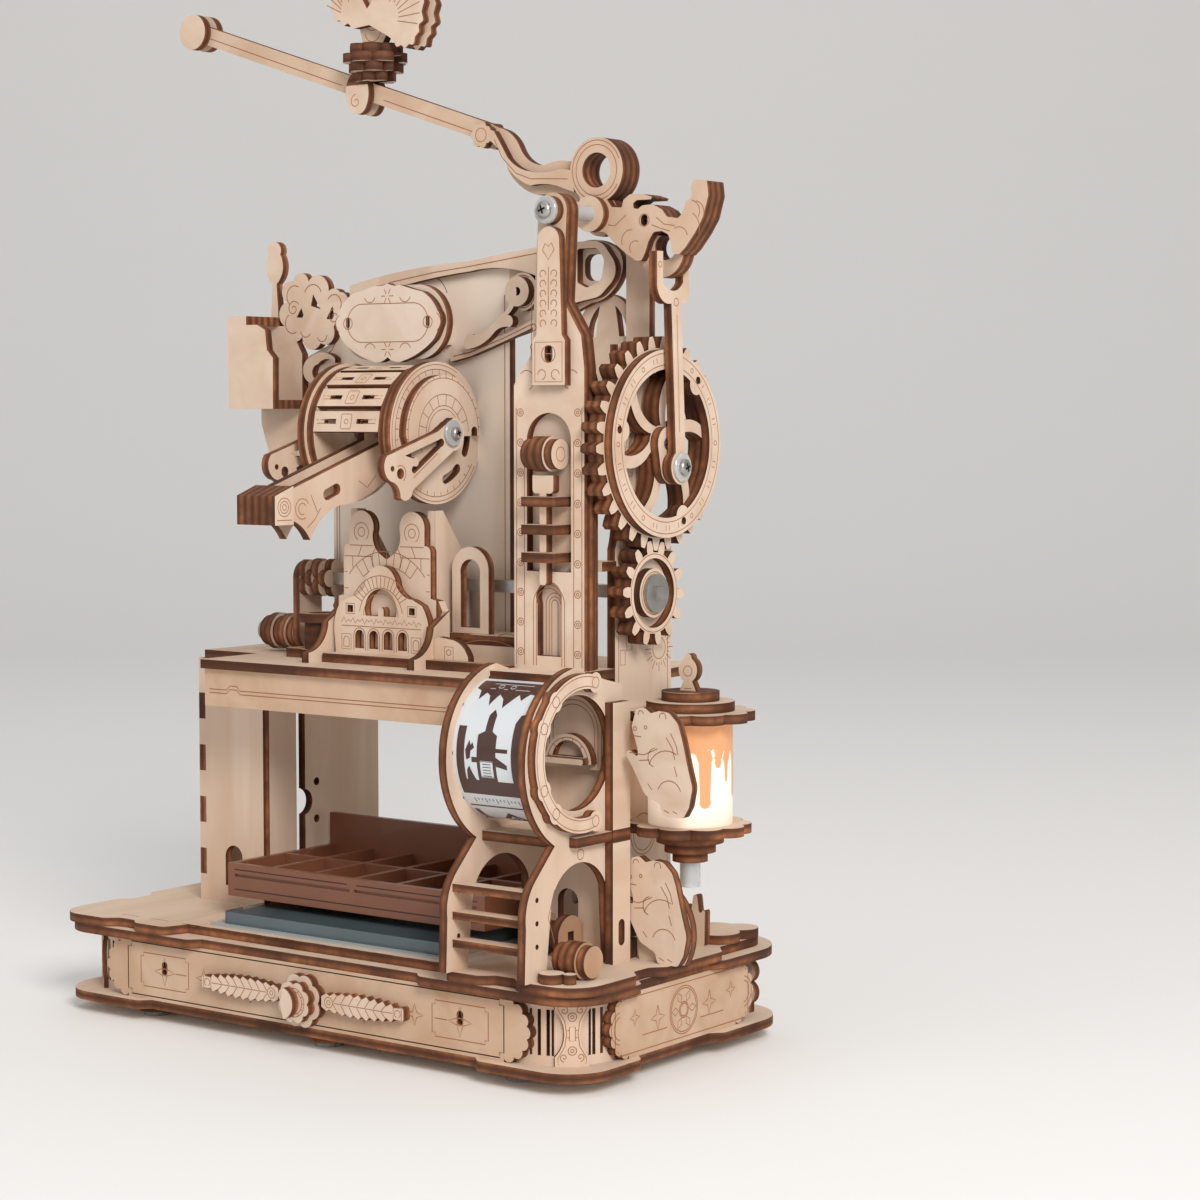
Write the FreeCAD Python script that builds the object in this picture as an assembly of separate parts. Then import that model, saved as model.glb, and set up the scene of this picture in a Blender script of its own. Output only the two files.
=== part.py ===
"""A hand-cranked press kit of laser-cut plywood, with a steel shaft and clear plastic parts.

All lengths are millimetres. X runs along the long side of the base, Y from front to back and Z up.
The origin is the centre of the base on the surface that its feet stand on.
"""
import FreeCAD, Part
import math
import os

V = FreeCAD.Vector

# Stock
PLY = 3.0
FIT = 0.05
GAP = 0.3
SCREW_R = 1.5
SCREW_HEAD_R = 2.6
SCREW_HEAD_H = 1.6

# Half widths from the platen outward
PLATEN_HALF_X = 55.0
PLATEN_SIDE_GAP = 3.0
BAY_WALL_X = PLATEN_HALF_X + PLATEN_SIDE_GAP
COLUMN_W = 27.0
OUTER_WALL_X = BAY_WALL_X + COLUMN_W
BASE_MARGIN = 22.5

# Feet and base
PAD_H = 1.5
FOOT_R = 5.75
BASE_HALF_X = OUTER_WALL_X + BASE_MARGIN
BASE_HALF_Y = 55.0
FOOT_X = BASE_HALF_X - 29.5
FOOT_Y = BASE_HALF_Y - 11.0
EAR = 3.5
EAR_R = 20.0
BASE_WALL_H = 20.0
BOTTOM_EAR_X = BASE_HALF_X - 38.5
TOP_EAR_X = BASE_HALF_X - 61.5
SIDE_RECESS_FRONT = -24.0
SIDE_RECESS_REAR = 14.0
PALMETTE_LOBES = 14
PALMETTE_DEPTH = 1.2
FRONT_PALMETTE_X = BASE_HALF_X - 27.5
SIDE_PALMETTE_Y = BASE_HALF_Y - 26.0
BEND_R = 18.0
BEND_LEG = 8.0
KERF = 1.1
KERF_STEP = 9.0

# Heights worked out from the stock
BOTTOM_Z = PAD_H + PLY
WALL_Z = BOTTOM_Z + PLY
TOP_Z = WALL_Z + BASE_WALL_H
DECK_Z = TOP_Z + PLY
FLOOR_Z = DECK_Z + PLY
BAY_H = 84.0
MID_Z = FLOOR_Z + BAY_H
STAGE_Z = MID_Z + PLY

# Rosette on the front
ROSETTE_R = 7.6
ROSETTE_LOBE = 1.1
ROSETTE_LOBES = 8
ROSETTE_Z = WALL_Z + 9.0
GRIP_W = 3.0
ARM_REACH = 43.0

# Platen that slides in the bay
PLATEN_FRONT_Y = -33.0
PLATEN_REAR_Y = 20.0
PLATEN_Z = 41.0
PLATEN_H = 11.0
PLATEN_WALL = 2.2
PLATEN_PIN_R = 2.15
PIN_DROP = 5.0

# Open bay under the stage
BAY_FRONT_Y = -9.5
BAY_REAR_Y = 47.0
GUIDE_Y = 6.3
GUIDE_W = 4.4
GUIDE_LOW = PLATEN_Z + PLATEN_H - PIN_DROP - FLOOR_Z
GUIDE_HIGH = 71.0
OUTER_REAR_Y = 20.6
TAB = 9.0
OUTER_TOP_Z = 160.0
NECK_TOP_Z = 223.0
NECK_SETBACK = 1.5
STAGE_FRONT_Y = -40.0
STAGE_REAR_Y = 48.0
FASCIA_Y = -38.0
FASCIA_H = 12.5

# Bed and platen
SHEET_T = 0.6
GLASS_T = 2.0
GLASS_HALF_X = 47.0
GLASS_FRONT_Y = -44.0
GLASS_REAR_Y = 24.0

# Figure-of-eight stand
STAND_X = BAY_WALL_X + 2.0
STAND_GAP = 27.0
RING_Y = -36.0
RING_Z = 100.0
RING_R = 25.0
RING_BAND = 4.5
LOOP_Z = 50.0
FILM_T = 0.5
FILM_R = 22.0
RUNG_T = 2.4

# Tower
TOWER_X = OUTER_WALL_X - 10.0
TOWER_HALF_W = 13.5
TOWER_FRONT_Y = -29.0
TOWER_SHOULDER_Z = 206.0

# Lever and its pivot
PIVOT_X = OUTER_WALL_X - 8.5
PIVOT_Z = 263.2
PIVOT_R = 1.5
LEVER_SLOPE = 18.0
LEVER_BAR_H = 6.3
LEVER_LEFT_X = -100.0
LEVER_RING_X = PIVOT_X + 0.6
LEVER_RING_Z = PIVOT_Z + 13.6
LEVER_RING_R = 10.1
LEVER_HOLE_R = 5.4
PERCH_X = -16.5

# Gear train
MODULE = 2.1
BIG_TEETH = 30
SMALL_TEETH = 14
BACKLASH = 0.24
SHAFT_Z = 146.4
SHAFT_SIDE = 4.0
SMALL_GEAR_X = OUTER_WALL_X + 5.0
GEAR_X = OUTER_WALL_X + 5.0
AXLE_R = 2.0
GEAR_Y = 3.0
ROD_Y = 4.5
ROD_DROP = 7.3
CRANK_X = -47.0
CRANK_REACH = 19.0

# Drum, feed arm and sign
DRUM_Y = -13.0
DRUM_Z = 195.5
DRUM_R = 22.8
DRUM_HALF_X = 19.7
FAN_R = 18.5
LINK_X = DRUM_HALF_X + PLY + GAP
FACADE_Y = -18.0
POT_X = -32.0
POT_Y = -12.0
CHEEK_X = 15.0
SIGN_Z = 231.2
SIGN_W = 44.4
SIGN_H = 25.2
PORT_X = 17.0
BACK_Y = 8.0
BOSS_X = 40.7
BOSS_Z = 240.7

# Lamp
LAMP_X = OUTER_WALL_X + 22.0
LAMP_Y = 4.0
LAMP_R = 13.1
LAMP_Z = 75.5
LAMP_H = 32.0
LAMP_WALL = 1.6
LAMP_PLATE_R = 20.0
LAMP_LOBE = 2.4
LAMP_LOBES = 10
LAMP_TURN = 0.3


def arc_or_line(start, step):
    """Edge from a 2-D point: two numbers end a line, four numbers are an arc's middle and end."""
    a = V(start[0], start[1], 0)
    if len(step) == 2:
        return Part.makeLine(a, V(step[0], step[1], 0))
    return Part.Arc(a, V(step[0], step[1], 0), V(step[2], step[3], 0)).toShape()


def path(start, *steps):
    """Closed 2-D wire made of lines and arcs."""
    edges = []
    here = start
    for step in steps:
        edges.append(arc_or_line(here, step))
        here = step[-2:]
    if math.dist(here, start) > 1e-6:
        edges.append(arc_or_line(here, start))
    return Part.Wire(edges)


def rounded(points, radius=0.0):
    """Closed 2-D polygon whose corners are rounded: by radius, or by a third number at a point."""
    edges = []
    count = len(points)
    starts = []
    ends = []
    arcs = []
    for i in range(count):
        here = V(points[i][0], points[i][1], 0)
        before = V(points[i - 1][0], points[i - 1][1], 0)
        after = V(points[(i + 1) % count][0], points[(i + 1) % count][1], 0)
        r = points[i][2] if len(points[i]) > 2 else radius
        u = (before - here).normalize()
        w = (after - here).normalize()
        half = u.getAngle(w) / 2
        if r <= 0 or half > math.radians(88):
            starts.append(here)
            ends.append(here)
            arcs.append(None)
            continue
        room = 0.48 * min((before - here).Length, (after - here).Length)
        r = min(r, room * math.tan(half))
        reach = r / math.tan(half)
        bisector = (u + w).normalize()
        middle = here + bisector * (r / math.sin(half) - r)
        starts.append(here + u * reach)
        ends.append(here + w * reach)
        arcs.append(Part.Arc(here + u * reach, middle, here + w * reach).toShape())
    for i in range(count):
        if arcs[i] is not None:
            edges.append(arcs[i])
        a = ends[i]
        b = starts[(i + 1) % count]
        if (b - a).Length > 1e-6:
            edges.append(Part.makeLine(a, b))
    return Part.Wire(edges)


def circle(x, y, r):
    """2-D circle."""
    return Part.Wire([Part.makeCircle(r, V(x, y, 0))])


def box2(x0, y0, x1, y1, radius=0.0):
    """2-D rectangle between two corners."""
    return rounded([(x0, y0), (x1, y0), (x1, y1), (x0, y1)], radius)


def stadium(x0, y0, x1, y1, r):
    """2-D slot with round ends, from one end's centre to the other's."""
    along = V(x1 - x0, y1 - y0, 0).normalize()
    side = V(-along.y, along.x, 0) * r
    a = V(x0, y0, 0)
    b = V(x1, y1, 0)
    first = Part.Arc(a + side, a - along * r, a - side).toShape()
    second = Part.Arc(b - side, b + along * r, b + side).toShape()
    return Part.Wire([first, Part.makeLine(a - side, b - side), second, Part.makeLine(b + side, a + side)])


def scalloped(x, y, r, lobe, count, turn=0.0):
    """2-D ring of lobes: valleys lie at radius r and crests a lobe further out."""
    edges = []
    step = 2 * math.pi / count
    for i in range(count):
        a = turn + i * step
        points = []
        for angle, reach in ((a, r), (a + step / 2, r + lobe), (a + step, r)):
            points.append(V(x + reach * math.cos(angle), y + reach * math.sin(angle), 0))
        edges.append(Part.Arc(*points).toShape())
    return Part.Wire(edges)


def flat(outer, holes=()):
    """2-D face of one outline less its holes."""
    face = Part.Face(outer)
    cuts = [Part.Face(hole) for hole in holes]
    if cuts:
        face = face.cut(cuts)
    return face


def lay(solid, plane, level, thickness):
    """Turn a plate drawn on the ground into its plane: xy, xz or yz, starting at that level."""
    if plane == "xy":
        turn = FreeCAD.Rotation()
        move = V(0, 0, level)
    elif plane == "xz":
        turn = FreeCAD.Rotation(V(1, 0, 0), 90)
        move = V(0, level + thickness, 0)
    else:
        turn = FreeCAD.Rotation(V(1, 1, 1), 120)
        move = V(level, 0, 0)
    done = solid.copy()
    done.Placement = FreeCAD.Placement(move, turn)
    return done


def plate(plane, level, outer, holes=(), thickness=PLY):
    """Flat plate: an outline in its plane, with holes, made thick in the positive direction."""
    solid = flat(outer, holes).extrude(V(0, 0, thickness))
    return lay(solid, plane, level, thickness)


def fuse(*solids):
    """Join solids of one piece."""
    first = solids[0]
    joined = first.fuse(list(solids[1:])) if len(solids) > 1 else first
    return joined.removeSplitter()


def rod(plane, level, length, x, y, r):
    """Round bar square to a plane."""
    return plate(plane, level, circle(x, y, r), (), length)


def ring(plane, level, length, x, y, outer_r, inner_r):
    """Washer or tube square to a plane."""
    return plate(plane, level, circle(x, y, outer_r), [circle(x, y, inner_r)], length)


def mirror_x(solid):
    """Copy of a solid on the other side of the middle."""
    return solid.mirror(V(0, 0, 0), V(1, 0, 0))


def pair(solid):
    """A solid and its mirror image."""
    return [solid, mirror_x(solid)]


nodes = {}


def add(name, *solids):
    """Keep the solids of one sub-part under its name."""
    found = []
    for shape in solids:
        found.extend(shape.Solids)
    nodes[name] = found[0] if len(found) == 1 else Part.makeCompound(found)


def base_outline(ear_x):
    """Outline of a base plate: four rounded corner ears that stand out past the walls."""
    far_x = BASE_HALF_X + EAR
    far_y = BASE_HALF_Y + EAR
    front = [
        (-ear_x, -BASE_HALF_Y), (ear_x, -BASE_HALF_Y), (ear_x + EAR, -far_y, 3.0), (far_x, -far_y, EAR_R),
        (far_x, SIDE_RECESS_FRONT - EAR, 3.0), (BASE_HALF_X, SIDE_RECESS_FRONT),
        (BASE_HALF_X, SIDE_RECESS_REAR), (far_x, SIDE_RECESS_REAR + EAR, 3.0), (far_x, far_y, EAR_R),
        (ear_x + EAR, far_y, 3.0), (ear_x, BASE_HALF_Y),
    ]
    back = [(-x, y, *rest) for x, y, *rest in reversed(front[1:])]
    return rounded(front[1:] + back)


def wall_panel(plane, level, half, palmette):
    """Base wall whose two ends are scalloped palmettes."""
    middle = WALL_Z + BASE_WALL_H / 2
    r = BASE_WALL_H / 2 - PALMETTE_DEPTH
    body = plate(plane, level, box2(-half, WALL_Z, half, TOP_Z))
    ends = []
    for side in (-1, 1):
        shell = scalloped(side * palmette, middle, r, PALMETTE_DEPTH, PALMETTE_LOBES, math.pi / 2)
        ends.append(plate(plane, level, shell))
    return fuse(body, *ends)


def corner_bend():
    """Kerf-bent corner wall between the front and the right panel, with its slots."""
    outer_y = -BASE_HALF_Y + PLY
    outer_x = BASE_HALF_X - PLY
    cx = outer_x - BEND_R
    cy = outer_y + BEND_R
    cut = math.sqrt(0.5)
    inner_r = BEND_R - PLY
    profile = path(
        (cx - BEND_LEG, outer_y), (cx, outer_y), (cx + BEND_R * cut, cy - BEND_R * cut, outer_x, cy),
        (outer_x, cy + BEND_LEG), (outer_x - PLY, cy + BEND_LEG), (outer_x - PLY, cy),
        (cx + inner_r * cut, cy - inner_r * cut, cx, cy - inner_r), (cx - BEND_LEG, cy - inner_r),
    )
    wall = plate("xy", WALL_Z, profile, (), BASE_WALL_H)
    slots = []
    for i in (-3.5, -2.5, 2.5, 3.5):
        turn = -45 + i * KERF_STEP
        slot = Part.makeBox(2 * PLY, KERF, BASE_WALL_H - 6)
        slot.translate(V(inner_r - PLY / 2, -KERF / 2, WALL_Z + 3))
        slot.rotate(V(0, 0, 0), V(0, 0, 1), turn)
        slot.translate(V(cx, cy, 0))
        slots.append(slot)
    return wall.cut(slots)


def corner_ornament():
    """Hourglass plate that follows the bend at the corner."""
    cx = BASE_HALF_X - PLY - BEND_R
    cy = -BASE_HALF_Y + PLY + BEND_R
    shell = ring("xy", WALL_Z, BASE_WALL_H, cx, cy, BEND_R + 1.5, BEND_R)
    low = WALL_Z
    high = TOP_Z
    middle = WALL_Z + BASE_WALL_H / 2
    glass = path(
        (-5.2, low), (5.2, low), (5.2, low + 3), (2.4, middle, 5.2, high - 3), (5.2, high), (-5.2, high),
        (-5.2, high - 3), (-2.4, middle, -5.2, low + 3),
    )
    cutter = plate("xz", -BEND_R - 2 * PLY, glass, (), BEND_R)
    cutter.rotate(V(0, 0, 0), V(0, 0, 1), 45)
    cutter.translate(V(cx, cy, 0))
    return shell.common(cutter)


def make_base():
    """Feet, the two base plates and the walls between them."""
    feet = []
    pads = []
    places = [(0, 0)]
    for x in (-FOOT_X, 0, FOOT_X):
        places += [(x, -FOOT_Y), (x, FOOT_Y)]
    for x, y in places:
        pads.append(rod("xy", 0, PAD_H, x, y, FOOT_R - 1.2))
        feet.append(rod("xy", PAD_H, PLY, x, y, FOOT_R))
    add("feet", *feet)
    add("foot_pads", *pads)
    add("base_bottom", plate("xy", BOTTOM_Z, base_outline(BOTTOM_EAR_X)))
    add("base_top", plate("xy", TOP_Z, base_outline(TOP_EAR_X)))
    half_front = BASE_HALF_X - PLY - BEND_R
    front = wall_panel("xz", -BASE_HALF_Y, FRONT_PALMETTE_X, FRONT_PALMETTE_X)
    holes = [rod("xz", -BASE_HALF_Y, PLY, 0, ROSETTE_Z, SCREW_R + FIT)]
    for side in (-1, 1):
        eye = stadium(side * 63, ROSETTE_Z + 1.4, side * 63, ROSETTE_Z + 3.2, 1.3)
        holes.append(plate("xz", -BASE_HALF_Y, eye))
    add("base_front_panel", front.cut(holes))
    add("base_rear_panel", plate("xz", BASE_HALF_Y - PLY, box2(-half_front, WALL_Z, half_front, TOP_Z)))
    side_wall = wall_panel("yz", BASE_HALF_X - PLY, SIDE_PALMETTE_Y, SIDE_PALMETTE_Y)
    add("base_side_panels", *pair(side_wall))
    post_x = BASE_HALF_X - 12
    post_y = BASE_HALF_Y - 9
    wavy = path(
        (post_x - 6, WALL_Z), (post_x + 6, WALL_Z), (post_x + 6, WALL_Z + 3),
        (post_x + 8, WALL_Z + 6.5, post_x + 6, WALL_Z + 10),
        (post_x + 8, WALL_Z + 13.5, post_x + 6, TOP_Z - 3), (post_x + 6, TOP_Z), (post_x - 6, TOP_Z),
        (post_x - 6, TOP_Z - 3), (post_x - 8, WALL_Z + 13.5, post_x - 6, WALL_Z + 10),
        (post_x - 8, WALL_Z + 6.5, post_x - 6, WALL_Z + 3),
    )
    add("corner_walls", *pair(corner_bend()), *pair(plate("xz", post_y, wavy)))


def make_front_key():
    """Turning rosette on the front and the carved arms beside it."""
    face_y = -BASE_HALF_Y - PLY
    back_disc = plate("xz", face_y, scalloped(0, ROSETTE_Z, ROSETTE_R, ROSETTE_LOBE, ROSETTE_LOBES))
    front_disc = plate("xz", face_y - PLY,
        scalloped(0, ROSETTE_Z, ROSETTE_R - 2, ROSETTE_LOBE, ROSETTE_LOBES))
    pin = rod("xz", face_y, 2 * PLY + 1, 0, ROSETTE_Z, SCREW_R)
    r = ROSETTE_R - 2.6
    grip = path(
        (-GRIP_W / 2, ROSETTE_Z - r), (GRIP_W / 2 + 0.8, ROSETTE_Z, -GRIP_W / 2, ROSETTE_Z + r),
        (-GRIP_W / 2 - 1.6, ROSETTE_Z),
    )
    add("front_rosette", fuse(back_disc, front_disc, pin), plate("xz", face_y - 2 * PLY, grip))
    start = ROSETTE_R + ROSETTE_LOBE + GAP
    upper = []
    lower = []
    teeth = 9
    pitch = (ARM_REACH - start - 4) / teeth
    middle = ROSETTE_Z + 1
    for i in range(teeth):
        x = start + i * pitch
        swell = 2.6 + 1.2 * math.sin(math.pi * (i + 0.5) / teeth)
        upper.append((x + 0.2, middle + swell - 1.1))
        upper.append((x + pitch * 0.7, middle + swell))
        lower.append((x + 0.2, middle - swell + 1.1))
        lower.append((x + pitch * 0.7, middle - swell))
    tip = [(ARM_REACH - 4, middle + 1.6), (ARM_REACH, middle + 2.4, 1.0), (ARM_REACH, middle - 2.4, 1.0)]
    tip.append((ARM_REACH - 4, middle - 1.6))
    arm = plate("xz", face_y, rounded(upper + tip + lower[::-1]))
    add("base_ornaments", *pair(arm), *pair(corner_ornament()))


def make_deck():
    """Deck plate on the base, with its wavy corners and the plates laid on it."""
    far_x = BASE_HALF_X + EAR
    far_y = BASE_HALF_Y + EAR
    inner_x = STAND_X - PLY
    lane_y = -BASE_HALF_Y + 5
    right = [
        (inner_x, lane_y), (inner_x + 3, -far_y, 3.0), (inner_x + 16, -far_y, 3.0),
        (inner_x + 20, -far_y + 3.5, 2.5), (inner_x + 27, -far_y + 3.5, 2.5), (inner_x + 31, -far_y, 3.0),
        (far_x, -far_y, EAR_R), (far_x, -30, 3.0), (far_x - 4, -26, 2.5), (far_x - 4, -18, 2.5),
        (far_x, -14, 3.0), (far_x, 16, 3.0), (far_x - 5, 22, 3.0), (far_x - 5, far_y - 6, 12.0),
        (inner_x, far_y - 6),
    ]
    left = [(-x, y, *rest) for x, y, *rest in reversed(right)]
    add("deck_plate", plate("xy", DECK_Z, rounded(right + left)))
    front_puffs = []
    for inset, y, r in ((10.5, -53.6, 3.8), (5.1, -51.9, 2.0)):
        front_puffs.append(rod("xy", FLOOR_Z, PLY, BASE_HALF_X - inset, y, r))
    puffs = []
    for inset, y, r in ((7.5, 30, 7.0), (13.5, 36, 8.0), (6.5, 41, 6.0)):
        puffs.append(rod("xy", FLOOR_Z, PLY, BASE_HALF_X - inset, y, r))
    cloud = fuse(*puffs)
    add("deck_overlays", fuse(*front_puffs), *pair(cloud))


def make_bay():
    """Side walls of the open bay and the boxed columns beside it."""
    low = FLOOR_Z + GUIDE_LOW
    high = FLOOR_Z + GUIDE_HIGH
    half = GUIDE_W / 2
    slot = path(
        (GUIDE_Y - half, low), (GUIDE_Y - half, high), (GUIDE_Y, high + half, GUIDE_Y + half, high),
        (GUIDE_Y + half, low + 25), (GUIDE_Y + half + 3.6, low + 20.5, GUIDE_Y + half, low + 16),
        (GUIDE_Y + half, low), (GUIDE_Y, low - half, GUIDE_Y - half, low),
    )
    wall_outline = box2(BAY_FRONT_Y, FLOOR_Z, BAY_REAR_Y, MID_Z)
    eyes = [circle(GUIDE_Y + 8, low + z, 1.4) for z in (14, 27)]
    wall = plate("yz", BAY_WALL_X, wall_outline, [slot] + eyes)
    front = rounded([
        (BAY_WALL_X, FLOOR_Z), (OUTER_WALL_X + PLY, FLOOR_Z), (OUTER_WALL_X + PLY, MID_Z),
        (BAY_WALL_X, MID_Z),
    ])
    door = path((68, FLOOR_Z + 6), (76, FLOOR_Z + 6), (76, FLOOR_Z + 16),
        (72, FLOOR_Z + 20, 68, FLOOR_Z + 16))
    tabs = []
    for i in range(4):
        tabs.append(Part.makeBox(PLY, PLY, TAB,
            V(OUTER_WALL_X, BAY_FRONT_Y - PLY, FLOOR_Z + TAB * (2 * i + 1))))
    column = plate("xz", BAY_FRONT_Y - PLY, front, [door]).cut(tabs)
    add("bay_walls", *pair(wall), *pair(column))
    neck_front = BAY_FRONT_Y + NECK_SETBACK
    neck_rear = BACK_Y
    bore = SHAFT_SIDE * math.sqrt(0.5) + FIT
    outline = path(
        (BAY_FRONT_Y, FLOOR_Z), (OUTER_REAR_Y, FLOOR_Z), (OUTER_REAR_Y, OUTER_TOP_Z),
        (neck_rear + 3, OUTER_TOP_Z + 3, neck_rear, OUTER_TOP_Z + 10), (neck_rear, NECK_TOP_Z),
        (neck_front, NECK_TOP_Z), (neck_front, OUTER_TOP_Z + 10),
        (neck_front - 0.3, OUTER_TOP_Z + 4, BAY_FRONT_Y, OUTER_TOP_Z),
    )
    shaft_hole = circle(0, SHAFT_Z, bore)
    right = plate("yz", OUTER_WALL_X, outline, [shaft_hole, circle(GEAR_Y, gear_z(), AXLE_R + FIT)])
    left = plate("yz", -OUTER_WALL_X - PLY, box2(BAY_FRONT_Y, FLOOR_Z, OUTER_REAR_Y, MID_Z))
    add("outer_walls", fuse(right, *tabs), fuse(left, *[mirror_x(tab) for tab in tabs]))


def make_bed():
    """Sheet and clear plates on the deck under the platen."""
    sheet = box2(-GLASS_HALF_X - 3, GLASS_FRONT_Y - 3, GLASS_HALF_X + 3, GLASS_REAR_Y + 3, 1.0)
    add("print_sheet", plate("xy", FLOOR_Z, sheet, (), SHEET_T))
    glass = box2(-GLASS_HALF_X, GLASS_FRONT_Y, GLASS_HALF_X, GLASS_REAR_Y, 2.0)
    stack = [plate("xy", FLOOR_Z + SHEET_T + i * GLASS_T, glass, (), GLASS_T) for i in range(2)]
    add("glass_plates", *stack)


def make_platen():
    """Brown ribbed platen that slides up and down in the bay on its side pins."""
    top = PLATEN_Z + PLATEN_H
    block = Part.makeBox(2 * PLATEN_HALF_X, PLATEN_REAR_Y - PLATEN_FRONT_Y, PLATEN_H)
    block.translate(V(-PLATEN_HALF_X, PLATEN_FRONT_Y, PLATEN_Z))
    columns = 6
    rows = 2
    span_x = (2 * PLATEN_HALF_X - PLATEN_WALL) / columns
    span_y = (PLATEN_REAR_Y - PLATEN_FRONT_Y - PLATEN_WALL) / rows
    cuts = []
    for i in range(columns):
        for j in range(rows):
            pocket = Part.makeBox(span_x - PLATEN_WALL, span_y - PLATEN_WALL, PLATEN_H)
            x = -PLATEN_HALF_X + PLATEN_WALL + i * span_x
            y = PLATEN_FRONT_Y + PLATEN_WALL + j * span_y
            pocket.translate(V(x, y, PLATEN_Z + PLATEN_WALL))
            cuts.append(pocket)
    for x in (-PLATEN_HALF_X + 3, 1):
        groove = Part.makeBox(PLATEN_HALF_X - 4, 0.8, 1.0)
        groove.translate(V(x, PLATEN_FRONT_Y, PLATEN_Z + 6.6))
        cuts.append(groove)
    rear = Part.makeBox(2 * PLATEN_HALF_X, PLATEN_WALL, PLATEN_H)
    rear.translate(V(-PLATEN_HALF_X, PLATEN_REAR_Y - PLATEN_WALL, top))
    lugs = []
    pins = []
    holes = []
    pin_z = top - PIN_DROP
    lug_t = 3.0
    inner_x = PLATEN_HALF_X - lug_t
    pin_length = lug_t + PLATEN_SIDE_GAP + PLY - 0.5
    lugs += pair(ring("yz", inner_x, lug_t, GUIDE_Y, pin_z, 5.0, PLATEN_PIN_R))
    pins += pair(rod("yz", inner_x, pin_length, GUIDE_Y, pin_z, PLATEN_PIN_R))
    holes += pair(rod("yz", inner_x, lug_t, GUIDE_Y, pin_z, PLATEN_PIN_R))
    add("platen", fuse(block.cut(cuts), rear, *lugs).cut(holes))
    add("platen_pins", *pins)


def eight_points(rear_y):
    """Front outline of the figure-of-eight stand, from its foot up to the top."""
    front = RING_Y - RING_R
    waist_y = RING_Y - 10.7
    waist_z = RING_Z - 26.9
    return [
        (front + 9.8, FLOOR_Z), (front - 0.4, FLOOR_Z), (front + 0.2, LOOP_Z),
        (front + 1.5, LOOP_Z + 9, front + 5.0, LOOP_Z + 14), (waist_y, waist_z),
        (front + 1.6, RING_Z - 12, front, RING_Z), (front + 5, RING_Z + 14.5, RING_Y - 1, RING_Z + 25.6),
        (RING_Y + 6, RING_Z + 23.4), (RING_Y + 15.5, RING_Z + 20.8), (rear_y, RING_Z + 19),
    ]


def stand_frame(level):
    """One side plate of the stand: a ring above an arch with legs."""
    rear_y = BAY_FRONT_Y - PLY
    outer = eight_points(rear_y)
    arch_low = LOOP_Z + 6
    legs = [
        (rear_y, FLOOR_Z), (rear_y - 7, FLOOR_Z), (rear_y - 8.5, arch_low + 2),
        (RING_Y, LOOP_Z + 16.5, -48.5, arch_low),
    ]
    outline = path(outer[0], *outer[1:], *legs)
    hole = circle(RING_Y, RING_Z, RING_R - 7.5)
    dowels = []
    for angle in (100, 140, 180, 220, 255):
        a = math.radians(angle)
        reach = RING_R - 3.6
        dowels.append(circle(RING_Y + reach * math.cos(a), RING_Z + reach * math.sin(a), 0.9))
    for z in (44, 51, 58):
        dowels.append(circle(RING_Y - RING_R + 5.5, z, 0.8))
    return plate("yz", level, outline, [hole] + dowels)


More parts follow.
